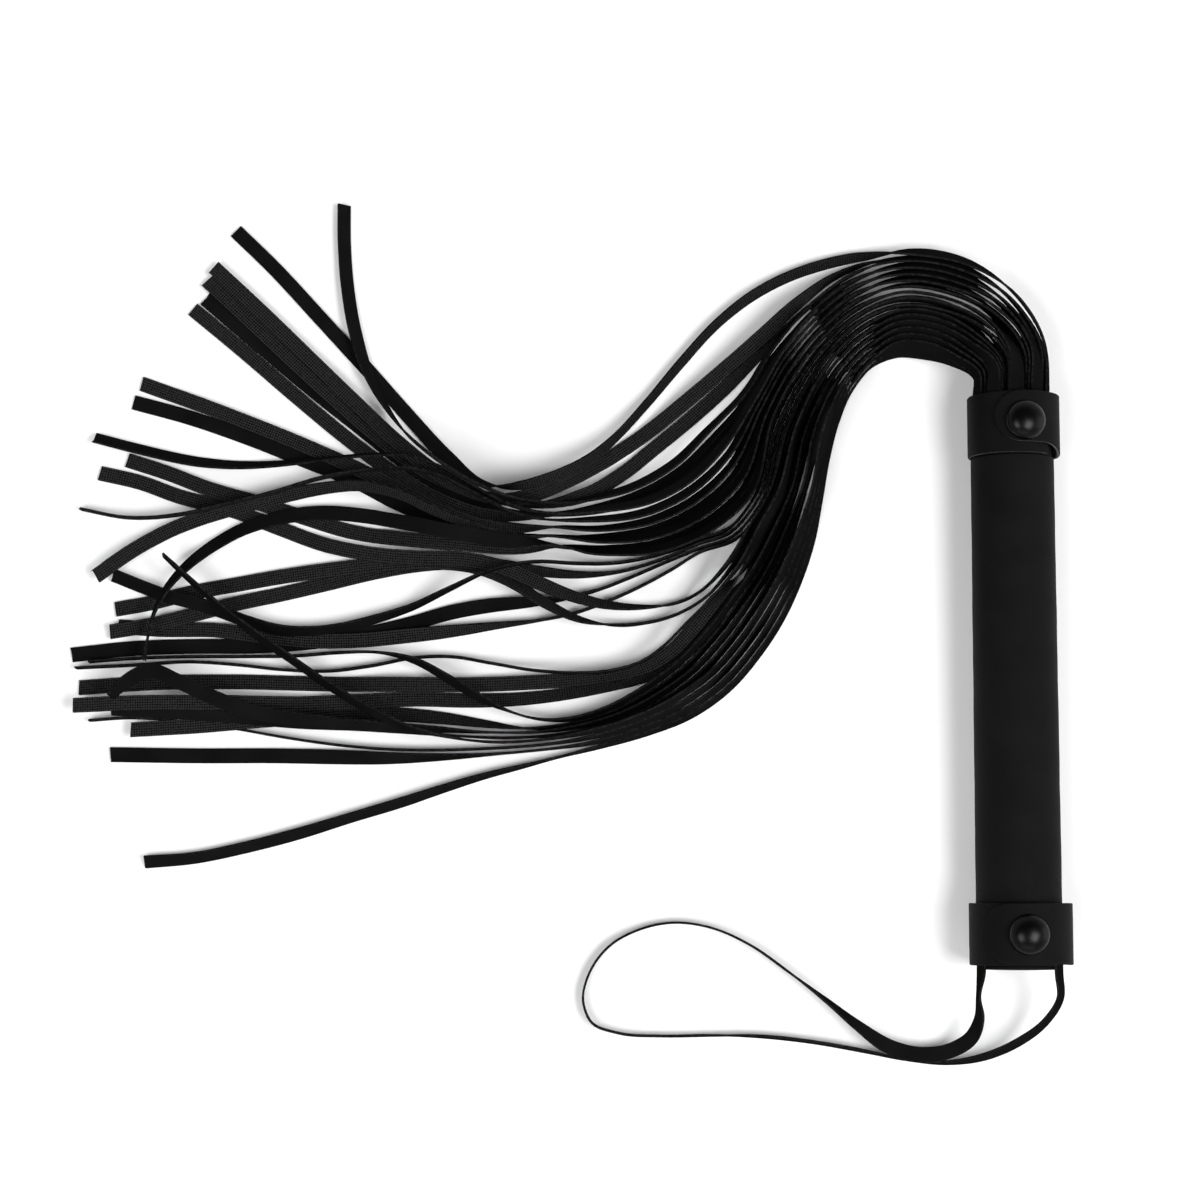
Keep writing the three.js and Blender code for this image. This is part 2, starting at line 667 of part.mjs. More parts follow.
// A fall's route as [x, y, z, roll, free], before it is settled on what lies under it. Free is 1 once it
// lies down.
const fallRoute = (lane) => {
  const upper = lane % 2 === 0;
  const root = SLOTS[upper ? "upper" : "lower"][Math.floor(lane / 2)];
  const share = lane / (FALLS - 1);
  const outwards = Math.min(1, Math.abs(share - 0.5) * 4); // strips in the middle of a row stay upright
  const angle = THREE.MathUtils.degToRad(root.angle);
  const rowLift = ((STRIP.width + ROW_GAP) / 2) * (upper ? 1 : -1);
  const { leaves = BEND.length - 1, points } = FALL_ENDS[lane];
  const route = BEND.slice(0, leaves + 1).map((station, i) => {
    const [ox, oy, ix, iy, height, ring, split, lean] = station;
    const out = new THREE.Vector2(ox - ix, oy - iy).setLength(root.radius * Math.cos(angle));
    return [
      between(between(ox, ix, share), (ox + ix) / 2 + out.x, ring),
      between(between(oy, iy, share), (oy + iy) / 2 + out.y, ring),
      height + between(rowLift * split, root.radius * Math.sin(angle), ring),
      between(between(root.edge, 90, lean * outwards), root.angle, ring ** ROLL_FIRST),
      i < SETTLED ? 0 : 1,
    ];
  });
  const branch = branchOf(lane);
  if (branch) {
    const t = (lane - branch.lanes[0]) / (branch.lanes[1] - branch.lanes[0]);
    const nested = STRIP.width / 2 + (upper ? NESTED_LIFT : 0);
    for (const [ox, oy, ix, iy, lean] of branch.stations) {
      route.push([between(ox, ix, t), between(oy, iy, t), nested, between(root.edge, 90, lean), 1]);
    }
  }
  for (const [x, y, flat] of points) {
    const roll = root.edge === 0 ? 90 * flat : 180 - 90 * flat;
    route.push([x, y, halfAcross(roll).up + ON_FLOOR, roll, 1]);
  }
  return route;
};

// A fall's solid has a section every 12 mm or so, and it is settled in pieces a fifth of that. In the
// bend and the branches the sections of all the lanes lie side by side.
const FINE_PIECES = 5;
const SECTION = 12;
const SHARED_SECTIONS = 2;
const piecesOf = (lane) => {
  const { leaves = BEND.length - 1 } = FALL_ENDS[lane];
  const shared = leaves + (branchOf(lane)?.stations.length ?? 0);
  return (span, length) => {
    const sections = span < shared ? SHARED_SECTIONS : Math.max(1, Math.round(length / SECTION));
    return FINE_PIECES * sections;
  };
};

// Lays the falls one by one: each lies on the surface or rises in a long low hump over those laid
// before it.
const NEAR = 8; // farther apart than this, two places can't touch
const HALF_PIECE = 1.1; // half the length of a fine piece
const MARGIN = 0.04;
const settle = (routes) => {
  const laid = [];
  const settled = [];
  const lanes = routes.map((_, lane) => lane);
  const ranked = lanes.sort((a, b) => FALL_ENDS[a].order - FALL_ENDS[b].order);
  for (const lane of ranked) {
    const route = smooth(routes[lane], piecesOf(lane));
    const right = rightOf(route);
    const firstFree = route.findIndex((p) => p[4] > 0.95);
    const need = route.map(([x, y, z, roll], i) => {
      if (i < firstFree) return z;
      const mine = halfAcross(roll);
      let height = Math.max(z, mine.up + ON_FLOOR);
      for (const other of laid) {
        const dx = x - other.x;
        const dy = y - other.y;
        if (Math.hypot(dx, dy) > NEAR) continue;
        const across = Math.abs(dx * other.right.x + dy * other.right.y);
        const along = Math.abs(dx * other.right.y - dy * other.right.x);
        const same = Math.abs(right[i].dot(other.right));
        const crossed = Math.sqrt(1 - Math.min(1, same * same));
        const touching = other.across + mine.across * same + HALF_PIECE * crossed + MARGIN;
        if (across > touching) continue;
        if (along > HALF_PIECE * (1 + same) + mine.across * crossed) continue;
        height = Math.max(height, other.top + CLEAR + mine.up);
      }
      return height;
    });
    const around = (values, i) => values.slice(Math.max(firstFree, i - HUMP), i + HUMP + 1);
    const spread = need.map((_, i) => Math.max(...around(need, i)));
    route.forEach((p, i) => {
      if (i < firstFree) return;
      const window = around(spread, i);
      p[2] = window.reduce((sum, v) => sum + v, 0) / window.length;
    });
    route.forEach(([x, y, z, roll], i) => {
      const { across, up } = halfAcross(roll);
      laid.push({ x, y, right: right[i], across, top: z + up });
    });
    settled[lane] = route;
  }
  return settled;
};

settle(Array.from({ length: FALLS }, (_, lane) => fallRoute(lane))).forEach((route, lane) => {
  const taken = route.filter((_, i) => i % FINE_PIECES === 0);
  add(`fall_${String(lane + 1).padStart(2, "0")}`, strip(taken), STRAP);
});

// ---- Wrist strap --------------------------------------------------------
// Both ends lie on the sleeve under the bottom collar. Points are [x, y, z, roll].
const STRAP_SEAT = PARED_RADIUS + GAP + STRIP.thickness / 2;
const seat = (angle, y) => {
  const turn = THREE.MathUtils.degToRad(angle);
  return [STRAP_SEAT * Math.cos(turn), y, AXIS_HEIGHT + STRAP_SEAT * Math.sin(turn)];
};
const WRIST_STRAP = [
  [...seat(160, -HALF + 15), 20],
  [...seat(160, -HALF + 6), 20],
  [...seat(160, -HALF - 1), 22],
  [-13.4, -100, 17.4, 5],
  [-12.8, -107, 13.8, 30],
  [-15, -113.2, 10.4, 60],
  [-21, -117.2, 8, 85],
  [-30, -118.6, 6.7, 90],
  [-40.5, -116.2, 6.4, 75],
  [-50, -109.9, 5.4, 40],
  [-60, -101.9, 3.6, 15],
  [-72, -92.8, 2.6, 0],
  [-85, -83.8, 2.6, 0],
  [-97, -78.6, 2.6, 0],
  [-109, -77, 2.6, 0],
  [-120, -79.2, 2.6, 0],
  [-130, -84.8, 2.6, 0],
  [-136, -93, 2.6, 0],
  [-138, -102, 2.6, 0],
  [-135.2, -108.8, 2.6, 0],
  [-127, -112, 2.6, 0],
  [-113, -113, 2.6, 0],
  [-97, -112.8, 2.6, 0],
  [-80, -113.2, 2.6, 10],
  [-64, -115, 2.6, 10],
  [-48, -117.8, 2.6, 10],
  [-34, -120.6, 2.6, 5],
  [-22, -121.4, 2.8, 15],
  [-10, -119.4, 4.6, 30],
  [0, -114.8, 8.4, 35],
  [8, -108.2, 13.6, 32],
  [12, -100.5, 19.4, 32],
  [...seat(36, -HALF - 1), 36],
  [...seat(36, -HALF + 6), 36],
  [...seat(36, -HALF + 15), 36],
];
add("wrist_strap", strip(smooth(WRIST_STRAP, () => 2)), STRAP);

export default root;
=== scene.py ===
"""The looks of a short whip with many flat falls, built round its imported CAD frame. Metres, +Z up.

The handle lies along Y on the floor, z = 0, and the falls leave its far end and lie towards -X.
"""

import math
import random

import bpy
import numpy as np
from mathutils import Matrix, Vector


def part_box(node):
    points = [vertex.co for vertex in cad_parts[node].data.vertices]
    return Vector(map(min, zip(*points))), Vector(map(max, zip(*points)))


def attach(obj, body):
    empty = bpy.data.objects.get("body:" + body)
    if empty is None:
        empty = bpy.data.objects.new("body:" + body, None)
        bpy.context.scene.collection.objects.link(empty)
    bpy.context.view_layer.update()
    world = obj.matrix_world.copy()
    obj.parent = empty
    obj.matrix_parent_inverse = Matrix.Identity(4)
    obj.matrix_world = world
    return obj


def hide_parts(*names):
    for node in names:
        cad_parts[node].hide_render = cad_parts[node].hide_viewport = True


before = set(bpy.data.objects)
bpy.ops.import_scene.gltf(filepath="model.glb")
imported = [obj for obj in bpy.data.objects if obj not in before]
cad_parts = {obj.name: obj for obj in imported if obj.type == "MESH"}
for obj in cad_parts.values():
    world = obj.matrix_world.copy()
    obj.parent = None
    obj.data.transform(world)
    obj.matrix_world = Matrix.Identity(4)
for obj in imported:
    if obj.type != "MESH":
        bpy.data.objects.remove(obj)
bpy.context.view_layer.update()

# ---- Sizes the CAD model has too ------------------------------------------------------------
HALF = 0.0915  # half the handle's length
SLEEVE_RADIUS = {"top": 0.0133, "bottom": 0.0136}
COLLAR_WIDTH = 0.0195
COLLAR_THICKNESS = 0.0011
COLLAR_LAP = 0.00035
TOP_COLLAR_BORE = 0.0131
BOTTOM_COLLAR_BORE = 0.0147
PARED_RADIUS = 0.013
GAP = 0.0003
STRIP_WIDTH = 0.0048
STRIP_THICKNESS = 0.00075
ROOT_LENGTH = 0.015
AXIS_HEIGHT = BOTTOM_COLLAR_BORE + COLLAR_THICKNESS
RIVET_CAP_RADIUS = 0.0064
RIVET_CAP_HEIGHT = 0.0046
RIVET_CAP_RIM = 0.0006
RIVET_SUNK = 0.0005  # how far a cap is pulled into the leather


# ---- Camera ---------------------------------------------------------------------------------
def make_camera():
    """Looks down at the whip, tilted a little towards the far end."""
    aim = Vector((-0.1326, 0.0274, 0))
    distance = 0.9228
    tilt = math.radians(6)
    data = bpy.data.cameras.new("camera")
    data.lens = 85
    data.sensor_width = 36
    data.clip_start = 0.05
    camera = bpy.data.objects.new("camera", data)
    camera.location = aim + Vector((0, -math.sin(tilt), math.cos(tilt))) * distance
    camera.rotation_euler = (tilt, 0, 0)
    bpy.context.scene.collection.objects.link(camera)
    bpy.context.scene.camera = camera


# ---- Materials ------------------------------------------------------------------------------
class Shader:
    """A material's node tree, with the few calls that the materials below need."""

    def __init__(self, name, roughness, specular):
        self.material = bpy.data.materials.new(name)
        self.material.use_nodes = True
        self.tree = self.material.node_tree
        self.surface = self.tree.nodes["Principled BSDF"]
        self.surface.inputs["Roughness"].default_value = roughness
        self.surface.inputs["Specular IOR Level"].default_value = specular

    def node(self, kind, **settings):
        made = self.tree.nodes.new(kind)
        for key, value in settings.items():
            setattr(made, key, value)
        return made

    def link(self, output, socket):
        self.tree.links.new(output, socket)

    def math(self, operation, a, b=None):
        made = self.node("ShaderNodeMath", operation=operation)
        for socket, value in zip(made.inputs, (a, b)):
            if isinstance(value, (int, float)):
                socket.default_value = value
            elif value is not None:
                self.link(value, socket)
        return made.outputs[0]

    def place(self, source):
        return self.node("ShaderNodeTexCoord").outputs[source]

    def noise(self, scale, detail):
        made = self.node("ShaderNodeTexNoise")
        made.inputs["Scale"].default_value = scale
        made.inputs["Detail"].default_value = detail
        self.link(self.place("Object"), made.inputs["Vector"])
        return made.outputs["Fac"]

    def colours(self, factor, low, high, start=0.3, end=0.7):
        """Base colour from low to high grey as factor goes from start to end."""
        ramp = self.node("ShaderNodeValToRGB")
        for element, at, grey in zip(ramp.color_ramp.elements, (start, end), (low, high)):
            element.position = at
            element.color = (grey, grey, grey, 1)
        self.link(factor, ramp.inputs["Fac"])
        self.link(ramp.outputs["Color"], self.surface.inputs["Base Color"])

    def bump(self, height, distance, strength):
        made = self.node("ShaderNodeBump")
        made.inputs["Distance"].default_value = distance
        made.inputs["Strength"].default_value = strength
        self.link(height, made.inputs["Height"])
        self.link(made.outputs["Normal"], self.surface.inputs["Normal"])


def coated_leather(name, grey, roughness, specular, grain):
    """Smooth black coated leather with a fine dull grain. For the strips' face, which has no specular,
    grey is raised to hold a painted sheen.
    """
    shader = Shader(name, roughness, specular)
    shader.colours(shader.noise(70, detail=3), low=grey * 0.8, high=grey * 1.25)
    shader.bump(shader.noise(grain, detail=2), distance=0.00006, strength=0.35)
    return shader.material


def cut_edge(name, low, high):
    """The raw fibre of a cut edge, greyer than the coating and mottled."""
    shader = Shader(name, roughness=0.9, specular=0.0)
    shader.colours(shader.noise(900, detail=4), low, high, start=0.35, end=0.68)
    shader.bump(shader.noise(2600, detail=3), distance=0.0001, strength=0.7)
    return shader.material


def woven_back(name):
    """Black woven cloth, with threads that cross every 0.8 mm or so. Its UV map is in metres. Its colour
    follows the threads' height: painted highlights on their crossings and painted shade in the dips
    between them.
    """
    pitch = 0.0008
    shader = Shader(name, roughness=0.9, specular=0.0)
    split = shader.node("ShaderNodeSeparateXYZ")
    shader.link(shader.place("UV"), split.inputs[0])
    turns = [shader.math("MULTIPLY", axis, math.pi / pitch) for axis in split.outputs[:2]]
    weave_relief_and_shade = shader.math("MULTIPLY", *(shader.math("SINE", turn) for turn in turns))
    uneven = shader.math("MULTIPLY", shader.noise(1500, detail=3), 0.9)
    height = shader.math("ADD", shader.math("ABSOLUTE", weave_relief_and_shade), uneven)
    # Painted shade and highlight: darker in the dips between threads and lighter on their crossings, plus
    # the cloth's own uneven tone.
    shader.colours(height, low=0.0003, high=0.026, start=0.5, end=1.3)
    shader.bump(height, distance=0.00022, strength=0.9)
    return shader.material


def satin_paint(name):
    """Satin black paint on metal."""
    shader = Shader(name, roughness=0.28, specular=0.12)
    shader.colours(shader.noise(300, detail=2), low=0.0006, high=0.0012)
    shader.bump(shader.noise(2200, detail=2), distance=0.00003, strength=0.25)
    return shader.material


def plain_wood(name):
    shader = Shader(name, roughness=0.7, specular=0.3)
    shader.surface.inputs["Base Color"].default_value = (0.4, 0.25, 0.13, 1)
    return shader.material


def backdrop_white(name):
    shader = Shader(name, roughness=0.9, specular=0.0)
    shader.surface.inputs["Base Color"].default_value = (0.92, 0.92, 0.92, 1)
    return shader.material


SLEEVE = coated_leather("sleeve_leather", grey=0.0036, roughness=0.7, specular=0.06, grain=1400)
COLLAR = coated_leather("collar_leather", grey=0.0028, roughness=0.65, specular=0.06, grain=1400)
# The strips' face has no specular: its grey is the coating's dark tone plus a painted sheen.
FACE_WITH_PAINTED_SHEEN = coated_leather("strip_face_painted_sheen", grey=0.0055, roughness=0.8, specular=0.0, grain=1100)
EDGE = cut_edge("strip_cut_edge", low=0.004, high=0.017)
COLLAR_EDGE = cut_edge("collar_cut_edge", low=0.05, high=0.11)
BACK_WITH_PAINTED_SHADE = woven_back("strip_woven_back_painted_shade")
PAINT = satin_paint("rivet_paint")
WOOD = plain_wood("core_wood")


# ---- Meshes ---------------------------------------------------------------------------------
def make_piece(name, points, faces, materials, face_slots=None, uvs=None, smooth_angle=35):
    """A mesh object that rides on the one body. Points are in the row frame."""
    mesh = bpy.data.meshes.new(name)
    mesh.from_pydata([tuple(p) for p in points], [], faces)
    for material in materials:
        mesh.materials.append(material)
    if face_slots is not None:
        mesh.polygons.foreach_set("material_index", face_slots)
    if uvs is not None:
        layer = mesh.uv_layers.new(name="along_across")
        for loop in mesh.loops:
            layer.data[loop.index].uv = uvs[loop.vertex_index]
    mesh.validate()
    piece = bpy.data.objects.new(name, mesh)
    bpy.context.scene.collection.objects.link(piece)
    mesh.shade_smooth()
    mesh.set_sharp_from_angle(angle=math.radians(smooth_angle))
    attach(piece, "root")
    return piece


def tube_faces(rings, around):
    """Quads between rings of points, each ring with the same count, and a cap at both ends."""
    faces = [tuple(range(around - 1, -1, -1))]
    for i in range(rings - 1):
        for k in range(around):
            a = i * around + k
            b = i * around + (k + 1) % around
            faces.append((a, b, b + around, a + around))
    last = (rings - 1) * around
    faces.append(tuple(range(last, last + around)))
    return faces


def turned(profile, segments=96):
    """Points and faces of a body turned about the handle's axis, from (radius, y) pairs."""
    inner = profile[1:-1]
    points = [(0, profile[0][1], AXIS_HEIGHT)]
    for radius, y in inner:
        for k in range(segments):
            a = 2 * math.pi * k / segments
            points.append((radius * math.cos(a), y, AXIS_HEIGHT + radius * math.sin(a)))
    points.append((0, profile[-1][1], AXIS_HEIGHT))
    faces = [(0, 1 + k, 1 + (k + 1) % segments) for k in range(segments)]
    for i in range(len(inner) - 1):
        for k in range(segments):
            a = 1 + i * segments + k
            b = 1 + i * segments + (k + 1) % segments
            faces.append((a, a + segments, b + segments, b))
    last = len(points) - 1
    base = last - segments
    faces += [(last, base + (k + 1) % segments, base + k) for k in range(segments)]
    return points, faces


def rounded(corners, radius, steps=4):
    """A profile with each (radius, y) corner between the first and the last rounded off."""
    line = [corners[0]]
    for before, corner, after in zip(corners, corners[1:], corners[2:]):
        a, c, b = (Vector(p) for p in (before, corner, after))
        start = c + (a - c).normalized() * min(radius, (a - c).length / 2)
        end = c + (b - c).normalized() * min(radius, (b - c).length / 2)
        for k in range(steps + 1):
            t = k / steps
            line.append(tuple(start * (1 - t) ** 2 + c * 2 * t * (1 - t) + end * t * t))
    line.append(corners[-1])
    return line


# ---- Smooth routes --------------------------------------------------------------------------
def smooth(points, pieces_in):
    """A smooth line through points of any number of coordinates, the first two of them level.

    pieces_in tells from a span's place and length how many pieces it is cut into.
    """
    points = np.array(points, float)
    last = len(points) - 1
    gaps = np.linalg.norm(np.diff(points[:, :2], axis=0), axis=1)
    steps = np.diff(points, axis=0) / gaps[:, None]
    slopes = np.empty_like(points)
    slopes[0], slopes[last] = steps[0], steps[-1]
    for i in range(1, last):
        before, after = gaps[i - 1], gaps[i]
        slopes[i] = (steps[i - 1] * after + steps[i] * before) / (before + after)
    line = [points[0]]
    for i, gap in enumerate(gaps):
        pieces = pieces_in(i, gap)
        for k in range(1, pieces + 1):
            t = k / pieces
            line.append(
                (2 * t**3 - 3 * t**2 + 1) * points[i]
                + (t**3 - 2 * t**2 + t) * gap * slopes[i]
                + (3 * t**2 - 2 * t**3) * points[i + 1]
                + (t**3 - t**2) * gap * slopes[i + 1]
            )
    return np.array(line)


def right_of(route):
    """The level direction to the right of travel at each point of a route."""
    ahead = np.vstack([route[1:], route[-1:]])
    behind = np.vstack([route[:1], route[:-1]])
    way = ahead - behind
    right = np.stack([way[:, 1], -way[:, 0], np.zeros(len(route))], axis=1)
    return right / np.linalg.norm(right, axis=1)[:, None]


# ---- Falls ----------------------------------------------------------------------------------
# The same routes as the CAD model's. A station is (outer x, outer y, inner x, inner y, height, share
# still in the ring, share still in two rows, lean). A fall's own points are (x, y, flatness). Lean and
# flatness are 0 on edge and 1 lying flat.
FALLS = 30
BEND = [
    (0.013, HALF - ROOT_LENGTH, -0.013, HALF - ROOT_LENGTH, AXIS_HEIGHT, 1, 1, 0),
    (0.013, HALF - 0.008, -0.013, HALF - 0.008, AXIS_HEIGHT, 1, 1, 0),
    (0.013, HALF + 0.001, -0.013, HALF + 0.001, AXIS_HEIGHT, 1, 1, 0),
    (0.014, 0.1095, -0.0145, 0.0969, 0.0153, 0.8, 1, 0),
    (0.003, 0.1268, -0.0198, 0.1025, 0.0129, 0.35, 1, 0.1),
    (-0.014, 0.137, -0.0275, 0.1075, 0.0096, 0, 1, 0.4),
    (-0.032, 0.1406, -0.0355, 0.1083, 0.0072, 0, 1, 0.35),
    (-0.05, 0.136, -0.043, 0.1045, 0.0054, 0, 0.9, 0),
    (-0.066, 0.1252, -0.0498, 0.0966, 0.0033, 0, 0.3, 0),
    (-0.079, 0.111, -0.055, 0.086, 0.0033, 0, 0.3, 0.15),
    (-0.0895, 0.095, -0.0585, 0.074, 0.0033, 0, 0.3, 0.25),
]
SETTLED = 8  # from this station on, each fall is laid on what lies under it
FALL_ENDS = [
    {"order": 19, "leaves": 6, "points": [
        (-0.045, 0.1408, -0.2), (-0.058, 0.1383, -0.35), (-0.07, 0.1343, -0.35), (-0.082, 0.128, -0.35),
        (-0.094, 0.1185, -0.3), (-0.106, 0.1053, -0.3), (-0.118, 0.0908, -0.25), (-0.128, 0.0793, -0.25),
        (-0.138, 0.0704, -0.4), (-0.149, 0.0646, -0.5), (-0.161, 0.0623, -0.15), (-0.172, 0.065, 0.4),
        (-0.182, 0.0735, 0.9), (-0.195, 0.0875, 1), (-0.21, 0.1045, 1), (-0.225, 0.121, 1),
        (-0.24, 0.1373, 1), (-0.2525, 0.1495, 1),
    ]},
    {"order": 15, "leaves": 6, "points": [
        (-0.046, 0.138, 0), (-0.057, 0.1328, -0.2), (-0.068, 0.124, -0.5), (-0.08, 0.1128, -0.8),
        (-0.092, 0.1024, -1), (-0.105, 0.0917, -1), (-0.118, 0.0816, -1), (-0.13, 0.0736, -1),
        (-0.142, 0.066, -1), (-0.153, 0.0604, -0.8), (-0.165, 0.0586, -0.4), (-0.176, 0.0618, -0.5),
        (-0.186, 0.0678, -0.8), (-0.197, 0.0768, -1), (-0.211, 0.0904, -1), (-0.226, 0.105, -1),
        (-0.242, 0.1206, -1), (-0.2595, 0.137, -1),
    ]},
    {"order": 14, "leaves": 8, "points": [
        (-0.08, 0.1082, -0.3), (-0.092, 0.0966, -0.7), (-0.104, 0.086, -0.9), (-0.115, 0.077, -0.9),
        (-0.126, 0.068, -0.9), (-0.136, 0.0614, -0.8), (-0.147, 0.058, -0.3), (-0.159, 0.0572, 0),
        (-0.171, 0.0595, 0), (-0.183, 0.0648, -0.3), (-0.195, 0.0726, -0.8), (-0.209, 0.084, -1),
        (-0.225, 0.0983, -1), (-0.245, 0.117, -1), (-0.2618, 0.1328, -1),
    ]},
    {"order": 26, "points": [
        (-0.16, 0.0578, 0), (-0.172, 0.0623, 0), (-0.184, 0.0695, 0), (-0.194, 0.0785, 0),
        (-0.202, 0.0895, 0.2), (-0.208, 0.1005, 0.4), (-0.2125, 0.114, 0.6), (-0.2155, 0.13, 0.6),
        (-0.2168, 0.145, 0.6), (-0.217, 0.158, 0.6),
    ]},
    {"order": 13, "points": [
        (-0.16, 0.0558, 0.2), (-0.172, 0.0588, 0.4), (-0.184, 0.0645, 0.7), (-0.197, 0.073, 1),
        (-0.212, 0.0848, 1), (-0.228, 0.0976, 1), (-0.245, 0.112, 1), (-0.2625, 0.127, 1),
    ]},
    {"order": 16, "points": [
        (-0.16, 0.0536, -0.3), (-0.173, 0.055, -0.7), (-0.186, 0.06, -1), (-0.2, 0.069, -1),
        (-0.215, 0.0802, -1), (-0.232, 0.0943, -1), (-0.25, 0.1098, -1), (-0.2665, 0.1235, -1),
    ]},
    {"order": 25, "points": [
        (-0.16, 0.055, 0), (-0.172, 0.0615, 0), (-0.184, 0.0685, 0), (-0.194, 0.0723, 0.1),
        (-0.206, 0.0733, 0.2), (-0.22, 0.0728, 0.2), (-0.235, 0.0716, 0.3), (-0.25, 0.0713, 0.4),
        (-0.265, 0.0726, 0.5), (-0.281, 0.076, 0.5), (-0.2975, 0.0803, 0.5),
    ]},
    {"order": 24, "points": [
        (-0.159, 0.0528, 0), (-0.171, 0.0588, 0), (-0.183, 0.065, 0), (-0.195, 0.0683, 0),
        (-0.208, 0.0683, 0), (-0.222, 0.0663, 0), (-0.238, 0.0616, 0), (-0.254, 0.0575, 0),
        (-0.27, 0.0542, 0), (-0.286, 0.0538, 0), (-0.302, 0.057, 0),
    ]},
    {"order": 18, "points": [
        (-0.158, 0.0486, -0.3), (-0.171, 0.05, -0.6), (-0.184, 0.0546, -0.8), (-0.198, 0.0623, -1),
        (-0.213, 0.0706, -1), (-0.23, 0.0783, -1), (-0.248, 0.0856, -1), (-0.266, 0.0925, -1),
        (-0.283, 0.0987, -1),
    ]},
    {"order": 17, "points": [
        (-0.157, 0.0466, 0.3), (-0.17, 0.0475, 0.6), (-0.184, 0.0518, 0.8), (-0.198, 0.0586, 1),
        (-0.213, 0.0666, 1), (-0.23, 0.0736, 1), (-0.248, 0.0808, 1), (-0.267, 0.0874, 1),
        (-0.2855, 0.0925, 1),
    ]},
    {"order": 23, "points": [
        (-0.158, 0.0456, 0), (-0.171, 0.048, -0.2), (-0.184, 0.0532, -0.3), (-0.198, 0.0598, -0.3),
        (-0.211, 0.0632, -0.4), (-0.225, 0.0629, -0.5), (-0.24, 0.0598, -0.6), (-0.255, 0.056, -0.7),
        (-0.27, 0.051, -0.8), (-0.283, 0.044, -0.9), (-0.296, 0.0345, -1),
    ]},
    {"order": 12, "points": [
        (-0.158, 0.0438, -0.5), (-0.171, 0.044, -0.9), (-0.185, 0.0454, -1), (-0.2, 0.0474, -1),
        (-0.215, 0.05, -1), (-0.23, 0.0546, -1), (-0.245, 0.0593, -1), (-0.26, 0.0636, -1),
        (-0.274, 0.069, -1), (-0.287, 0.0733, -1),
    ]},
    {"order": 27, "points": [
        (-0.163, 0.0436, 1), (-0.178, 0.0462, 1), (-0.193, 0.0502, 1), (-0.208, 0.054, 1),
        (-0.223, 0.0556, 0.9), (-0.238, 0.0536, 0.8), (-0.251, 0.0492, 0.7), (-0.262, 0.0419, 0.6),
        (-0.2705, 0.033, 0.4), (-0.2765, 0.022, 0.2), (-0.2795, 0.007, 0),
    ]},
    {"order": 22, "points": [
        (-0.112, 0.0424, 0), (-0.126, 0.0394, 0), (-0.14, 0.0386, 0), (-0.154, 0.0384, 0),
        (-0.168, 0.0354, 0), (-0.181, 0.0302, 0.1), (-0.194, 0.0246, 0.2), (-0.207, 0.0202, 0.3),
        (-0.221, 0.0172, 0.3), (-0.235, 0.017, 0.4), (-0.248, 0.0203, 0.5), (-0.26, 0.0248, 0.6),
        (-0.272, 0.028, 0.6), (-0.291, 0.0353, 0.6),
    ]},
    {"order": 9, "points": [
        (-0.113, 0.0402, 0), (-0.126, 0.0364, 0), (-0.14, 0.0354, -0.2), (-0.153, 0.0366, -0.4),
        (-0.165, 0.0384, -0.6), (-0.178, 0.0396, -0.8), (-0.192, 0.0388, -1), (-0.206, 0.0364, -1),
        (-0.221, 0.0328, -1), (-0.236, 0.0293, -1), (-0.251, 0.026, -1), (-0.265, 0.0222, -1),
        (-0.278, 0.019, -0.8), (-0.2915, 0.0167, -0.8),
    ]},
    {"order": 7, "points": [
        (-0.111, 0.0396, 0), (-0.122, 0.0348, 0), (-0.134, 0.0302, 0), (-0.145, 0.0276, 0.1),
        (-0.156, 0.0264, 0.4), (-0.168, 0.0254, 0.7), (-0.181, 0.0232, 1), (-0.195, 0.0193, 1),
        (-0.21, 0.016, 1), (-0.226, 0.0136, 1), (-0.244, 0.0123, 1), (-0.264, 0.0122, 1),
        (-0.284, 0.0115, 1), (-0.304, 0.0094, 1),
    ]},
    {"order": 8, "points": [
        (-0.109, 0.0372, 0), (-0.119, 0.0318, 0), (-0.13, 0.0268, 0), (-0.141, 0.0228, 0),
        (-0.153, 0.0204, 0), (-0.166, 0.0188, -0.2), (-0.18, 0.017, -0.5), (-0.195, 0.0154, -0.8),
        (-0.21, 0.014, -0.9), (-0.226, 0.0138, -1), (-0.242, 0.0154, -1), (-0.258, 0.0174, -1),
        (-0.274, 0.0176, -1), (-0.289, 0.0186, -1),
    ]},
    {"order": 11, "points": [
        (-0.1, 0.0296, 0), (-0.1085, 0.026, 0), (-0.1185, 0.0246, -0.2), (-0.13, 0.025, -0.4),
        (-0.142, 0.0278, -0.6), (-0.153, 0.032, -0.8), (-0.164, 0.0368, -0.9), (-0.176, 0.0396, -1),
        (-0.19, 0.0403, -1), (-0.205, 0.0416, -1), (-0.22, 0.0446, -1), (-0.237, 0.0508, -1),
        (-0.254, 0.0572, -1), (-0.27, 0.0613, -1), (-0.283, 0.066, -1), (-0.296, 0.069, -1),
    ]},
    {"order": 10, "points": [
        (-0.0984, 0.0272, 0), (-0.107, 0.0224, 0), (-0.117, 0.0198, 0), (-0.128, 0.0188, 0),
        (-0.14, 0.0206, -0.3), (-0.151, 0.026, -0.5), (-0.161, 0.0324, -0.6), (-0.172, 0.0373, -0.8),
        (-0.186, 0.0393, -1), (-0.202, 0.0389, -1), (-0.218, 0.0373, -1), (-0.234, 0.0352, -1),
        (-0.25, 0.0325, -1), (-0.266, 0.0296, -1), (-0.279, 0.0263, -1), (-0.29, 0.0243, -1),
    ]},
    {"order": 20, "points": [
        (-0.097, 0.0265, 0), (-0.105, 0.0186, 0), (-0.112, 0.0116, 0), (-0.1195, 0.0064, 0),
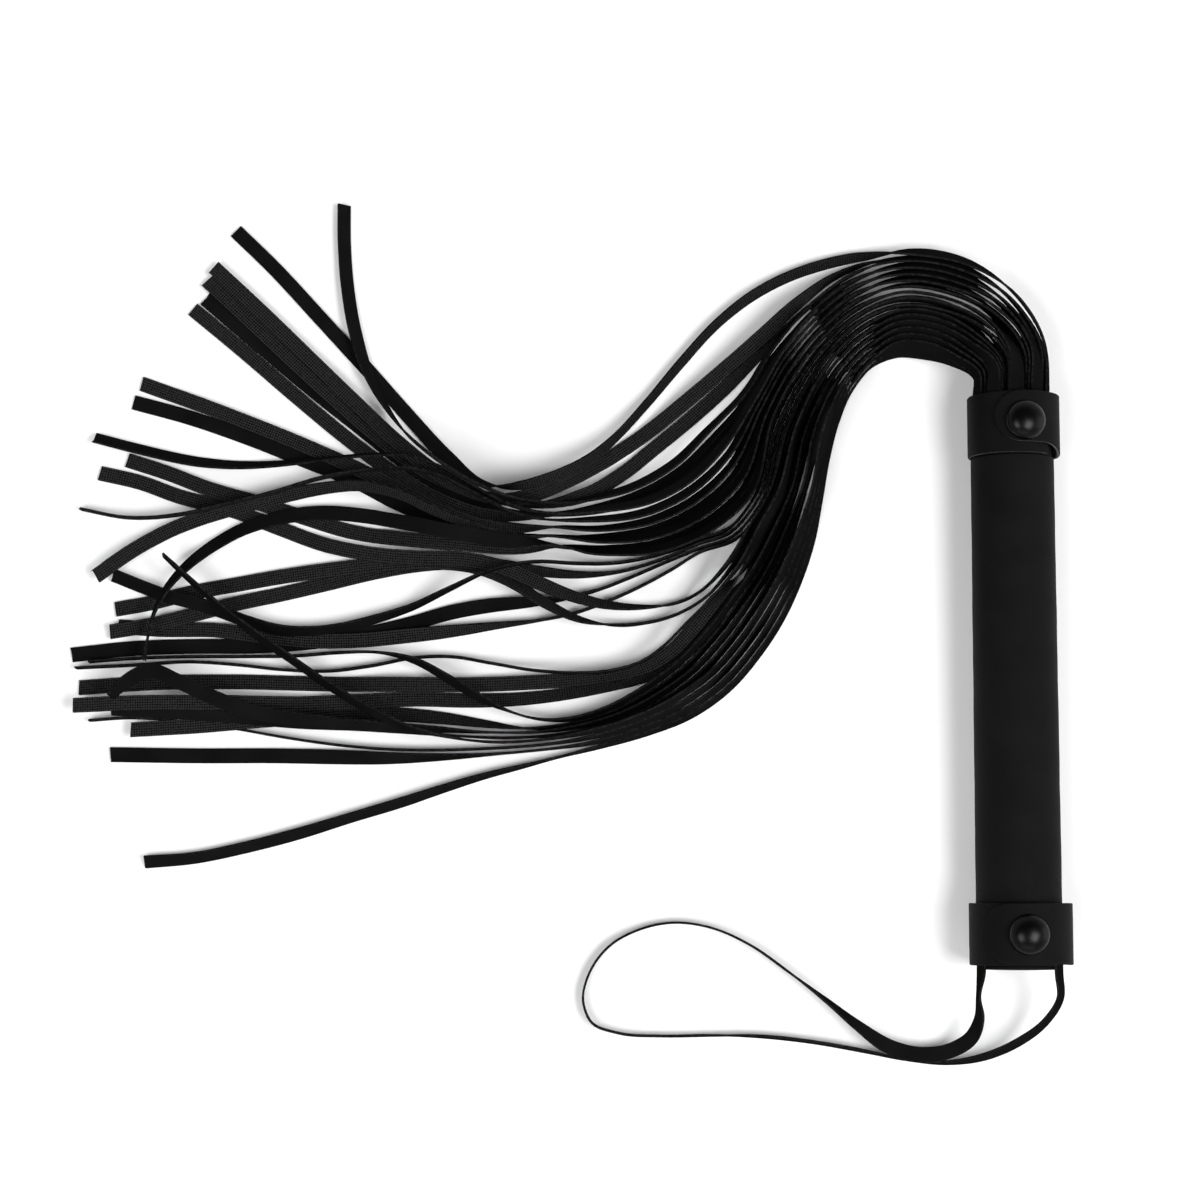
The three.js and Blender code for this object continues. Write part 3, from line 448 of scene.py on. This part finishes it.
        (-0.129, 0.0036, 0), (-0.141, 0.0028, 0), (-0.154, 0.0038, 0), (-0.167, 0.0063, 0),
        (-0.18, 0.0086, 0), (-0.193, 0.0083, 0), (-0.206, 0.0058, 0), (-0.22, 0.004, 0),
        (-0.235, 0.0044, 0), (-0.25, 0.006, 0), (-0.266, 0.007, 0), (-0.282, 0.006, 0),
        (-0.3025, 0.005, 0),
    ]},
    {"order": 6, "points": [
        (-0.095, 0.0268, -0.7), (-0.1025, 0.0176, -1), (-0.109, 0.0106, -0.9), (-0.117, 0.0054, -0.8),
        (-0.127, 0.0026, -0.7), (-0.138, 0.0012, -0.8), (-0.151, 0.0003, -0.9), (-0.166, -0.0003, -1),
        (-0.184, -0.0006, -1), (-0.204, -0.0004, -1), (-0.226, 0, -1), (-0.25, 0.0006, -1),
        (-0.275, 0.0004, -1), (-0.3015, -0.0013, -1),
    ]},
    {"order": 5, "points": [
        (-0.0925, 0.0248, -0.7), (-0.1, 0.0154, -1), (-0.1075, 0.008, -0.8), (-0.117, 0.0026, -0.6),
        (-0.129, -0.0008, -0.5), (-0.143, -0.0033, -0.6), (-0.158, -0.005, -0.7), (-0.172, -0.0055, -0.8),
        (-0.19, -0.0052, -0.9), (-0.21, -0.0059, -1), (-0.232, -0.0068, -1), (-0.256, -0.0068, -1),
        (-0.28, -0.0068, -1), (-0.302, -0.0075, -1),
    ]},
    {"order": 21, "points": [
        (-0.1525, -0.0118, 0), (-0.162, -0.0092, 0), (-0.172, -0.0046, 0.3), (-0.182, 0.0014, 0.3),
        (-0.192, 0.0068, 0.2), (-0.203, 0.0096, 0), (-0.217, 0.0099, 0), (-0.232, 0.0089, 0),
        (-0.25, 0.0087, 0), (-0.27, 0.0086, 0), (-0.285, 0.008, 0), (-0.298, 0.007, 0),
    ]},
    {"order": 3, "points": [
        (-0.155, -0.0146, 0), (-0.169, -0.0132, -0.3), (-0.184, -0.0112, -0.6), (-0.202, -0.0098, -0.8),
        (-0.221, -0.0102, -0.9), (-0.24, -0.012, -1), (-0.262, -0.014, -1), (-0.284, -0.0152, -1),
    ]},
    {"order": 28, "points": [
        (-0.154, -0.016, 0), (-0.17, -0.016, 0), (-0.186, -0.0152, 0.2), (-0.2, -0.0146, 0.4),
        (-0.215, -0.0136, 0.5), (-0.23, -0.012, 0.6), (-0.244, -0.0098, 0.8), (-0.257, -0.005, 0.9),
        (-0.268, 0, 1), (-0.277, 0.0033, 0.9), (-0.284, 0, 0.6), (-0.289, -0.005, 0.2),
    ]},
    {"order": 4, "points": [
        (-0.152, -0.0172, 0), (-0.167, -0.0176, 0), (-0.182, -0.0168, 0), (-0.197, -0.0152, 0.2),
        (-0.212, -0.0138, 0.4), (-0.23, -0.013, 0.5), (-0.25, -0.0114, 0.5), (-0.272, -0.0096, 0.6),
        (-0.29, -0.0086, 0.6),
    ]},
    {"order": 29, "points": [
        (-0.151, -0.0186, 0), (-0.167, -0.0192, 0), (-0.182, -0.0178, 0), (-0.195, -0.0146, 0.2),
        (-0.207, -0.0089, 0.3), (-0.219, -0.0017, 0.3), (-0.231, 0.0066, 0.3), (-0.243, 0.0149, 0.3),
        (-0.255, 0.0243, 0.2), (-0.264, 0.0322, 0.2), (-0.273, 0.0405, 0.1),
    ]},
    {"order": 2, "points": [
        (-0.15, -0.02, 0), (-0.166, -0.021, 0), (-0.183, -0.0216, 0), (-0.2, -0.0214, 0),
        (-0.217, -0.02, 0), (-0.234, -0.0176, 0), (-0.251, -0.0146, 0), (-0.269, -0.0122, 0),
        (-0.285, -0.0112, 0), (-0.2975, -0.012, 0),
    ]},
    {"order": 1, "points": [
        (-0.149, -0.0214, 0), (-0.165, -0.0228, 0), (-0.182, -0.0238, 0.2), (-0.2, -0.0242, 0.5),
        (-0.218, -0.0238, 0.8), (-0.238, -0.0234, 1), (-0.262, -0.0234, 1), (-0.291, -0.023, 1),
    ]},
    {"order": 0, "points": [
        (-0.147, -0.0242, 0), (-0.158, -0.027, 0.1), (-0.17, -0.03, 0.2), (-0.183, -0.034, 0.3),
        (-0.197, -0.0386, 0.4), (-0.213, -0.0434, 0.4), (-0.23, -0.0486, 0.5), (-0.247, -0.053, 0.5),
        (-0.263, -0.0563, 0.5), (-0.279, -0.0576, 0.6),
    ]},
]

BRANCHES = [
    {"lanes": (3, 12), "stations": [
        (-0.0975, 0.082, -0.0845, 0.061, 0.3),
        (-0.108, 0.0715, -0.096, 0.0506, 0.4),
        (-0.12, 0.0642, -0.112, 0.0436, 0.4),
        (-0.134, 0.0593, -0.131, 0.042, 0.3),
        (-0.148, 0.057, -0.147, 0.043, 0.1),
    ]},
    {"lanes": (13, 16), "stations": [
        (-0.083, 0.0598, -0.0798, 0.057, 0),
        (-0.091, 0.0504, -0.0886, 0.0468, 0),
        (-0.101, 0.0466, -0.1002, 0.0426, 0),
    ]},
    {"lanes": (17, 21), "stations": [
        (-0.0782, 0.059, -0.0724, 0.06, 0.2),
        (-0.085, 0.0475, -0.0778, 0.0486, 0.25),
        (-0.0924, 0.0368, -0.0844, 0.0362, 0.1),
    ]},
    {"lanes": (22, 29), "stations": [
        (-0.0705, 0.062, -0.0605, 0.06, 0.1),
        (-0.0755, 0.05, -0.0635, 0.0465, 0.2),
        (-0.082, 0.0375, -0.068, 0.033, 0.2),
        (-0.09, 0.026, -0.074, 0.0203, 0.2),
        (-0.099, 0.0148, -0.0815, 0.009, 0.2),
        (-0.1085, 0.005, -0.091, -0.0018, 0.2),
        (-0.1195, -0.0028, -0.103, -0.0103, 0.2),
        (-0.131, -0.0088, -0.1175, -0.0162, 0.15),
        (-0.143, -0.012, -0.133, -0.0206, 0.1),
    ]},
]

# The falls' roots: three rings round the spigot, by radius, and the angles that each row takes from
# them, on the outside of the bend and on its inside.
RINGS = [0.0089, 0.0103, 0.0117]
OUTWARD = {"upper": [18, 54, 90], "lower": [-18, -54]}
INWARD = {"upper": [126, 162], "lower": [270, 234, 198]}
ROLL_FIRST = 2.8  # over 1, a fall turns on edge before it moves into its row
ROW_GAP = 0.0005  # between the two rows
NESTED_LIFT = 0.0016  # how far every other fall stands above its neighbours in a branch
ON_FLOOR = 0.0001  # under the lowest falls
CLEAR = 0.0005  # between falls that cross
HUMP = 4  # pieces to either side over which the height of a crossing is kept, and then averaged
NEAR = 0.008  # farther apart than this, two places can't touch
MARGIN = 0.00004  # extra width by which falls count as crossing
FREE = 0.95  # above this value of free, a fall is laid on what lies under it
SECTION = 0.012  # about the length of a section of a fall's own end
SHARED_SECTIONS = 2  # in each span of the bend and the branches
FINE_PIECES = 5  # in each section
HALF_PIECE = 0.0011  # about half the length of a piece


def root_slots(row):
    """(edge, angle, radius) of each root in a row: its roll once on edge, and its place in the rings."""
    slots = [(0, angle, radius) for angle in OUTWARD[row] for radius in reversed(RINGS)]
    return slots + [(180, angle, radius) for angle in INWARD[row] for radius in RINGS]


SLOTS = {row: root_slots(row) for row in ("upper", "lower")}


def between(a, b, t):
    return a + (b - a) * t


def branch_of(lane):
    for branch in BRANCHES:
        if branch["lanes"][0] <= lane <= branch["lanes"][1]:
            return branch
    return None


def leaves_at(lane):
    return FALL_ENDS[lane].get("leaves", len(BEND) - 1)


def fall_route(lane):
    """A fall's route as (x, y, z, roll, free), before it is settled on what lies under it."""
    upper = lane % 2 == 0
    edge, slot_angle, radius = SLOTS["upper" if upper else "lower"][lane // 2]
    share = lane / (FALLS - 1)
    outwards = min(1, abs(share - 0.5) * 4)  # strips in the middle of a row stay upright
    angle = math.radians(slot_angle)
    row_lift = (STRIP_WIDTH + ROW_GAP) / 2 * (1 if upper else -1)
    route = []
    for i, station in enumerate(BEND[: leaves_at(lane) + 1]):
        ox, oy, ix, iy, height, ring, split, lean = station
        out = Vector((ox - ix, oy - iy)).normalized() * radius * math.cos(angle)
        x = between(between(ox, ix, share), (ox + ix) / 2 + out.x, ring)
        y = between(between(oy, iy, share), (oy + iy) / 2 + out.y, ring)
        z = height + between(row_lift * split, radius * math.sin(angle), ring)
        on_edge = between(edge, 90, lean * outwards)
        roll = between(on_edge, slot_angle, ring**ROLL_FIRST)
        route.append((x, y, z, roll, 0 if i < SETTLED else 1))
    branch = branch_of(lane)
    if branch:
        first, last = branch["lanes"]
        t = (lane - first) / (last - first)
        nested = STRIP_WIDTH / 2 + (NESTED_LIFT if upper else 0)
        for ox, oy, ix, iy, lean in branch["stations"]:
            route.append((between(ox, ix, t), between(oy, iy, t), nested, between(edge, 90, lean), 1))
    for x, y, flat in FALL_ENDS[lane]["points"]:
        roll = 90 * flat if edge == 0 else 180 - 90 * flat
        route.append((x, y, half_across(roll)[1] + ON_FLOOR, roll, 1))
    return route


def half_across(roll):
    """Half of a strip's size across its route and up, at a roll in degrees."""
    cos = np.abs(np.cos(np.radians(roll)))
    sin = np.abs(np.sin(np.radians(roll)))
    across = (STRIP_WIDTH * sin + STRIP_THICKNESS * cos) / 2
    up = (STRIP_WIDTH * cos + STRIP_THICKNESS * sin) / 2
    return across, up


def pieces_of(lane):
    """How many pieces each span of a fall's route is cut into, as a function of its place and length."""
    branch = branch_of(lane)
    shared = leaves_at(lane) + (len(branch["stations"]) if branch else 0)

    def pieces(span, length):
        sections = SHARED_SECTIONS if span < shared else max(1, math.floor(length / SECTION + 0.5))
        return FINE_PIECES * sections

    return pieces


def settled_falls():
    """Every fall's route, laid one by one: on the floor or in a long low hump over those before it."""
    laid = np.empty((0, 6))  # x, y, right x, right y, half across, top
    settled = [None] * FALLS
    for lane in sorted(range(FALLS), key=lambda lane: FALL_ENDS[lane]["order"]):
        route = smooth(fall_route(lane), pieces_of(lane))
        right = right_of(route)
        across, up = half_across(route[:, 3])
        first_free = int(np.argmax(route[:, 4] > FREE))
        need = route[:, 2].copy()
        for i in range(first_free, len(route)):
            need[i] = max(route[i, 2], up[i] + ON_FLOOR)
            dx, dy = route[i, 0] - laid[:, 0], route[i, 1] - laid[:, 1]
            sideways = np.abs(dx * laid[:, 2] + dy * laid[:, 3])
            along = np.abs(dx * laid[:, 3] - dy * laid[:, 2])
            same = np.abs(right[i, 0] * laid[:, 2] + right[i, 1] * laid[:, 3])
            crossed = np.sqrt(1 - np.minimum(1, same * same))
            under = np.hypot(dx, dy) <= NEAR
            under &= sideways <= laid[:, 4] + across[i] * same + HALF_PIECE * crossed + MARGIN
            under &= along <= HALF_PIECE * (1 + same) + across[i] * crossed
            if under.any():
                need[i] = max(need[i], laid[under, 5].max() + CLEAR + up[i])
        free = np.arange(first_free, len(route))
        window = [slice(max(first_free, i - HUMP), i + HUMP + 1) for i in free]
        spread = need.copy()
        spread[free] = [need[near].max() for near in window]
        route[free, 2] = [spread[near].mean() for near in window]
        own = np.column_stack([route[:, :2], right[:, :2], across, route[:, 2] + up])
        laid = np.vstack([laid, own])
        settled[lane] = route
    return settled


# ---- Strips ---------------------------------------------------------------------------------
CUT_BEVEL = 0.0001  # the slight round of a strip's cut edges
FRAY = 0.0004  # how unevenly a strip's ends are cut


def strip_piece(name, route, draw):
    """A flat strip along a route of (x, y, z, roll): a smooth face, a woven back and raw cut edges."""
    t, w, b = STRIP_THICKNESS / 2, STRIP_WIDTH / 2, CUT_BEVEL
    upper_half = [(t, b - w), (t, w - b), (t - b, w), (b - t, w)]
    outline = upper_half + [(-a, -c) for a, c in upper_half]
    slots = [0, 1, 1, 1, 2, 1, 1, 1]  # smooth face, cut edge, woven back
    right = right_of(route)
    way = np.gradient(route[:, :3], axis=0)
    way /= np.linalg.norm(way, axis=1)[:, None]
    run = np.concatenate([[0], np.cumsum(np.linalg.norm(np.diff(route[:, :3], axis=0), axis=1))])
    offset = draw.uniform(0, 1)
    points, uvs = [], []
    for i, (centre, roll) in enumerate(zip(route[:, :3], np.radians(route[:, 3]))):
        face = right[i] * math.cos(roll) + np.array([0, 0, math.sin(roll)])
        side = right[i] * -math.sin(roll) + np.array([0, 0, math.cos(roll)])
        at_tip = i in (0, len(route) - 1)
        for a, c in outline:
            fray = way[i] * draw.uniform(-FRAY, FRAY) if at_tip else 0
            points.append(centre + face * a + side * c + fray)
            uvs.append((run[i] + offset, c + w))
    faces = tube_faces(len(route), len(outline))
    face_slots = [1] + slots * (len(route) - 1) + [1]
    piece = make_piece(name, points, faces, [FACE_WITH_PAINTED_SHEEN, EDGE, BACK_WITH_PAINTED_SHADE], face_slots, uvs)
    return piece, float(run[-1])


def lay_strip(name, node, route, draw):
    """A strip in place of its CAD node, which it hides."""
    piece, length = strip_piece(name, route, draw)
    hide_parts(node)


def make_falls():
    for lane, route in enumerate(settled_falls()):
        number = f"{lane + 1:02d}"
        lay_strip(f"strip_{number}", f"fall_{number}", route, random.Random(lane))


# ---- Wrist strap ----------------------------------------------------------------------------
STRAP_SEAT = PARED_RADIUS + GAP + STRIP_THICKNESS / 2
STRAP_PIECES = 6  # between two stations


def seat(angle, y):
    """A place on the sleeve, at an angle round the handle."""
    turn = math.radians(angle)
    return STRAP_SEAT * math.cos(turn), y, AXIS_HEIGHT + STRAP_SEAT * math.sin(turn)


# Stations of (x, y, z, roll). Both ends lie on the sleeve, under the bottom collar.
WRIST_STRAP = [
    (*seat(160, -HALF + 0.015), 20),
    (*seat(160, -HALF + 0.006), 20),
    (*seat(160, -HALF - 0.001), 22),
    (-0.0134, -0.1, 0.0174, 5),
    (-0.0128, -0.107, 0.0138, 30),
    (-0.015, -0.1132, 0.0104, 60),
    (-0.021, -0.1172, 0.008, 85),
    (-0.03, -0.1186, 0.0067, 90),
    (-0.0405, -0.1162, 0.0064, 75),
    (-0.05, -0.1099, 0.0054, 40),
    (-0.06, -0.1019, 0.0036, 15),
    (-0.072, -0.0928, 0.0026, 0),
    (-0.085, -0.0838, 0.0026, 0),
    (-0.097, -0.0786, 0.0026, 0),
    (-0.109, -0.077, 0.0026, 0),
    (-0.12, -0.0792, 0.0026, 0),
    (-0.13, -0.0848, 0.0026, 0),
    (-0.136, -0.093, 0.0026, 0),
    (-0.138, -0.102, 0.0026, 0),
    (-0.1352, -0.1088, 0.0026, 0),
    (-0.127, -0.112, 0.0026, 0),
    (-0.113, -0.113, 0.0026, 0),
    (-0.097, -0.1128, 0.0026, 0),
    (-0.08, -0.1132, 0.0026, 10),
    (-0.064, -0.115, 0.0026, 10),
    (-0.048, -0.1178, 0.0026, 10),
    (-0.034, -0.1206, 0.0026, 5),
    (-0.022, -0.1214, 0.0028, 15),
    (-0.01, -0.1194, 0.0046, 30),
    (0.0, -0.1148, 0.0084, 35),
    (0.008, -0.1082, 0.0136, 32),
    (0.012, -0.1005, 0.0194, 32),
    (*seat(36, -HALF - 0.001), 36),
    (*seat(36, -HALF + 0.006), 36),
    (*seat(36, -HALF + 0.015), 36),
]


def make_wrist_strap():
    route = smooth(WRIST_STRAP, lambda span, length: STRAP_PIECES)
    lay_strip("wrist_strip", "wrist_strap", route, random.Random(FALLS))


# ---- Handle ---------------------------------------------------------------------------------
PARED_STEP = 0.001  # the length over which the sleeve grows to its full radius
SLEEVE_STEPS = 70
SLEEVE_SEGMENTS = 128
UNEVENNESS = 0.00005  # of the sleeve's wrapped surface
RIPPLES = (17, 41)  # the two waves that make it, in radians over the sleeve's length
END_SLANT = 0.0004  # how long before its end the sleeve starts to slant in
LIP_RADIUS = 0.0126
LIP_LENGTH = 0.003
DISC_ROUND = 0.0005


def make_sleeve():
    """The wrapped sleeve between the collars, with a thin lip that goes on under the top collar."""
    low, high = (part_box("handle_sleeve")[k][1] for k in (0, 1))
    pared_end = -HALF + COLLAR_WIDTH - PARED_STEP
    bottom, top = SLEEVE_RADIUS["bottom"], SLEEVE_RADIUS["top"]
    one, other = RIPPLES
    line = [(0, low), (PARED_RADIUS, low), (PARED_RADIUS, pared_end)]
    for k in range(SLEEVE_STEPS + 1):
        t = k / SLEEVE_STEPS
        y = between(pared_end + PARED_STEP, high - END_SLANT, t)
        dip = UNEVENNESS * (1 + math.sin(one * t) * math.sin(other * t))
        line.append((between(bottom, top, t) - dip, y))
    line += [(LIP_RADIUS, high), (LIP_RADIUS, high + LIP_LENGTH), (0, high + LIP_LENGTH)]
    points, faces = turned(line, SLEEVE_SEGMENTS)
    sleeve = make_piece("sleeve_wrap", points, faces, [SLEEVE])
    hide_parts("handle_sleeve")


def make_butt_disc():
    low, high = (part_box("butt_disc")[k][1] for k in (0, 1))
    outline = [(0, low), (PARED_RADIUS, low), (PARED_RADIUS, high), (0, high)]
    points, faces = turned(rounded(outline, DISC_ROUND))
    disc = make_piece("butt_cover", points, faces, [SLEEVE])
    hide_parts("butt_disc")


# ---- Collars and rivets ---------------------------------------------------------------------
COLLARS = {
    "top": {
        "y": HALF - COLLAR_WIDTH / 2 - 0.0003,
        "bore": TOP_COLLAR_BORE,
        "rivet_angle": 82,
        "flap_end": 118,
        "taper": 0.0016,
    },
    "bottom": {
        "y": -HALF + COLLAR_WIDTH / 2 + 0.0013,
        "bore": BOTTOM_COLLAR_BORE,
        "rivet_angle": 88,
        "flap_end": 139,
        "taper": 0.0003,
    },
}
TURN = 360
UNDERLAP = 38  # degrees from the rivet to the inner end of a collar's strap
RISE = 40  # degrees before a full turn at which the strap starts to climb onto its inner end
RISE_MARGIN = 8  # degrees before the inner end at which it is up
FLAP_START = 55  # degrees over which a flap takes its taper
BAND_STEPS = 110
TIP_STEPS = 24
TIP_LEFT = 0.004  # of the width squared, left at the very tip
COLLAR_BEVEL = 0.00022
ROUNDER = {"out": 1.2, "along": 1.4}  # the coated side's bevel, as a share of the other side's
CAP_UNDERSIDE = [  # (radius, height) from the middle to the edge of the rolled rim
    (0.0018, 0),
    (RIVET_CAP_RADIUS - 0.0005, 0),
    (RIVET_CAP_RADIUS - 0.0001, 0.00025),
]
CAP_STEPS = 20
CAP_SEGMENTS = 72
CAP_FULLNESS = 0.92  # under 1 the dome is fuller than an ellipse


def rivet_frame(y, angle):
    """Stands on the handle's axis at y, with its Z axis pointing out at an angle round the handle."""
    turn = Matrix.Rotation(math.radians(90 - angle), 4, "Y")
    return Matrix.Translation((0, y, AXIS_HEIGHT)) @ turn


def smoothstep(value, low, high):
    t = min(1, max(0, (value - low) / (high - low)))
    return t * t * (3 - 2 * t)


def make_collar(name, node, y, bore, rivet_angle, flap_end, taper):
    """One strap wound once round the handle. Its outer end is a rounded flap over its inner end."""
    start = rivet_angle - UNDERLAP
    end = TURN + flap_end
    tip_radius = COLLAR_WIDTH / 2 - taper
    tip_angle = math.degrees(tip_radius / (bore + COLLAR_THICKNESS + COLLAR_LAP))
    angles = [between(start, end - tip_angle, k / BAND_STEPS) for k in range(BAND_STEPS)]
    quarter = math.pi / 2 / TIP_STEPS
    angles += [end - tip_angle * (1 - math.sin(quarter * k)) for k in range(TIP_STEPS + 1)]
    bevel = COLLAR_BEVEL
    points = []
    for angle in angles:
        rise = smoothstep(angle, TURN - RISE, TURN + start - RISE_MARGIN)
        inner = bore + rise * (COLLAR_THICKNESS + COLLAR_LAP)
        outer = inner + COLLAR_THICKNESS
        left = (end - angle) / tip_angle
        narrowing = math.sqrt(max(TIP_LEFT, 1 - (1 - left) ** 2)) if left < 1 else 1
        low = y - COLLAR_WIDTH / 2 + 2 * taper * smoothstep(angle, TURN, TURN + FLAP_START)
        high = y + COLLAR_WIDTH / 2
        middle, half = (low + high) / 2, (high - low) / 2 * narrowing
        soft = min(bevel, half / 2)
        deep, wide = bevel * ROUNDER["out"], soft * ROUNDER["along"]
        section = [
            (inner, -half + soft), (inner, half - soft),
            (inner + bevel, half), (outer - deep, half), (outer, half - wide),
            (outer, wide - half), (outer - deep, -half), (inner + bevel, -half),
        ]
        out = Vector((math.cos(math.radians(angle)), 0, math.sin(math.radians(angle))))
        for radius, along in section:
            points.append(out * radius + Vector((0, middle + along, AXIS_HEIGHT)))
    cut, coated = 1, 0
    section_slots = [cut, cut, cut, coated, coated, coated, cut, cut]
    face_slots = [cut] + section_slots * (len(angles) - 1) + [cut]
    faces = tube_faces(len(angles), len(section_slots))
    collar = make_piece(name, points, faces, [COLLAR, COLLAR_EDGE], face_slots)
    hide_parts(node)


def make_rivet(name, node, y, bore, angle):
    """A domed cap with a small rolled rim, pulled a little into the leather."""
    seat = bore + 2 * COLLAR_THICKNESS + COLLAR_LAP - RIVET_SUNK
    profile = [(around, seat + height) for around, height in CAP_UNDERSIDE]
    for k in range(CAP_STEPS + 1):
        a = math.pi / 2 * k / CAP_STEPS
        rise = (RIVET_CAP_HEIGHT - RIVET_CAP_RIM) * math.sin(a) ** CAP_FULLNESS
        profile.append((RIVET_CAP_RADIUS * math.cos(a), seat + RIVET_CAP_RIM + rise))
    place = rivet_frame(y, angle)
    points = []
    for around, height in profile[:-1]:
        for k in range(CAP_SEGMENTS):
            a = 2 * math.pi * k / CAP_SEGMENTS
            points.append(place @ Vector((around * math.cos(a), around * math.sin(a), height)))
    points.append(place @ Vector((0, 0, profile[-1][1])))
    points.append(place @ Vector((0, 0, seat)))
    faces = []
    rings = len(profile) - 1
    for i in range(rings - 1):
        for k in range(CAP_SEGMENTS):
            a = i * CAP_SEGMENTS + k
            b = i * CAP_SEGMENTS + (k + 1) % CAP_SEGMENTS
            faces.append((a, b, b + CAP_SEGMENTS, a + CAP_SEGMENTS))
    top, bottom = len(points) - 2, len(points) - 1
    base = (rings - 1) * CAP_SEGMENTS
    faces += [(top, base + k, base + (k + 1) % CAP_SEGMENTS) for k in range(CAP_SEGMENTS)]
    faces += [(bottom, (k + 1) % CAP_SEGMENTS, k) for k in range(CAP_SEGMENTS)]
    cap = make_piece(name, points, faces, [PAINT], smooth_angle=60)
    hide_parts(node)


def make_collars():
    for end, sizes in COLLARS.items():
        make_collar(f"{end}_collar_strap", f"collar_{end}", **sizes)
    for end, sizes in COLLARS.items():
        place = (sizes["y"], sizes["bore"], sizes["rivet_angle"])
        make_rivet(f"{end}_rivet_dome", f"rivet_cap_{end}", *place)


def paint_kept_nodes():
    """Materials for the hidden CAD nodes that stay: the core and the rivets' posts."""
    kept = {"handle_core": WOOD, "rivet_post_top": PAINT, "rivet_post_bottom": PAINT}
    for node, material in kept.items():
        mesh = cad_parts[node].data
        mesh.materials.clear()
        mesh.materials.append(material)


# ---- Floor and light ------------------------------------------------------------------------
FLOOR_HALF = 4.0
FLOOR_HEIGHT = -0.0002
LIT_MIDDLE = Vector((-0.1, 0.02, 0))  # what every lamp faces
LAMPS = [  # name, place, size, power
    ("right_softbox", (0.5, -0.25, 1.2), (0.6, 0.5), 14),
    ("left_softbox", (-0.6, -0.35, 1.2), (0.5, 0.5), 8),
    ("right_rim", (1.3, 0.0, 0.45), (0.9, 0.9), 4),
    ("near_softbox", (-0.05, -1.1, 0.9), (1.2, 0.5), 3),
]
SKY = ((0.0, 1.0), (0.35, 0.9), (0.7, 0.08))  # (height of the direction, grey)


def make_floor():
    mesh = bpy.data.meshes.new("floor")
    signs = ((-1, -1), (1, -1), (1, 1), (-1, 1))
    corners = [(a * FLOOR_HALF, b * FLOOR_HALF, FLOOR_HEIGHT) for a, b in signs]
    mesh.from_pydata(corners, [], [(0, 1, 2, 3)])
    mesh.materials.append(backdrop_white("floor_white"))
    floor = bpy.data.objects.new("floor", mesh)
    bpy.context.scene.collection.objects.link(floor)


def make_lamp(name, place, size, power):
    """A softbox that faces the middle of the whip."""
    data = bpy.data.lights.new(name, "AREA")
    data.shape = "RECTANGLE"
    data.size, data.size_y = size
    data.energy = power
    lamp = bpy.data.objects.new(name, data)
    lamp.location = place
    aim = LIT_MIDDLE - Vector(place)
    lamp.rotation_euler = aim.to_track_quat("-Z", "Y").to_euler()
    bpy.context.scene.collection.objects.link(lamp)


def make_world():
    """Bright round the horizon and dark overhead, as in a white tent that is open at the top."""
    world = bpy.data.worlds.new("studio")
    bpy.context.scene.world = world
    world.use_nodes = True
    tree = world.node_tree
    place = tree.nodes.new("ShaderNodeTexCoord").outputs["Generated"]
    split = tree.nodes.new("ShaderNodeSeparateXYZ")
    ramp = tree.nodes.new("ShaderNodeValToRGB")
    while len(ramp.color_ramp.elements) < len(SKY):
        ramp.color_ramp.elements.new(0.5)
    for element, (at, grey) in zip(ramp.color_ramp.elements, SKY):
        element.position = at
        element.color = (grey, grey, grey, 1)
    tree.links.new(place, split.inputs[0])
    tree.links.new(split.outputs["Z"], ramp.inputs["Fac"])
    tree.links.new(ramp.outputs["Color"], tree.nodes["Background"].inputs["Color"])
    bpy.context.scene.view_settings.view_transform = "Standard"


make_camera()
make_falls()
make_wrist_strap()
make_sleeve()
make_butt_disc()
make_collars()
paint_kept_nodes()
make_floor()
for lamp in LAMPS:
    make_lamp(*lamp)
make_world()
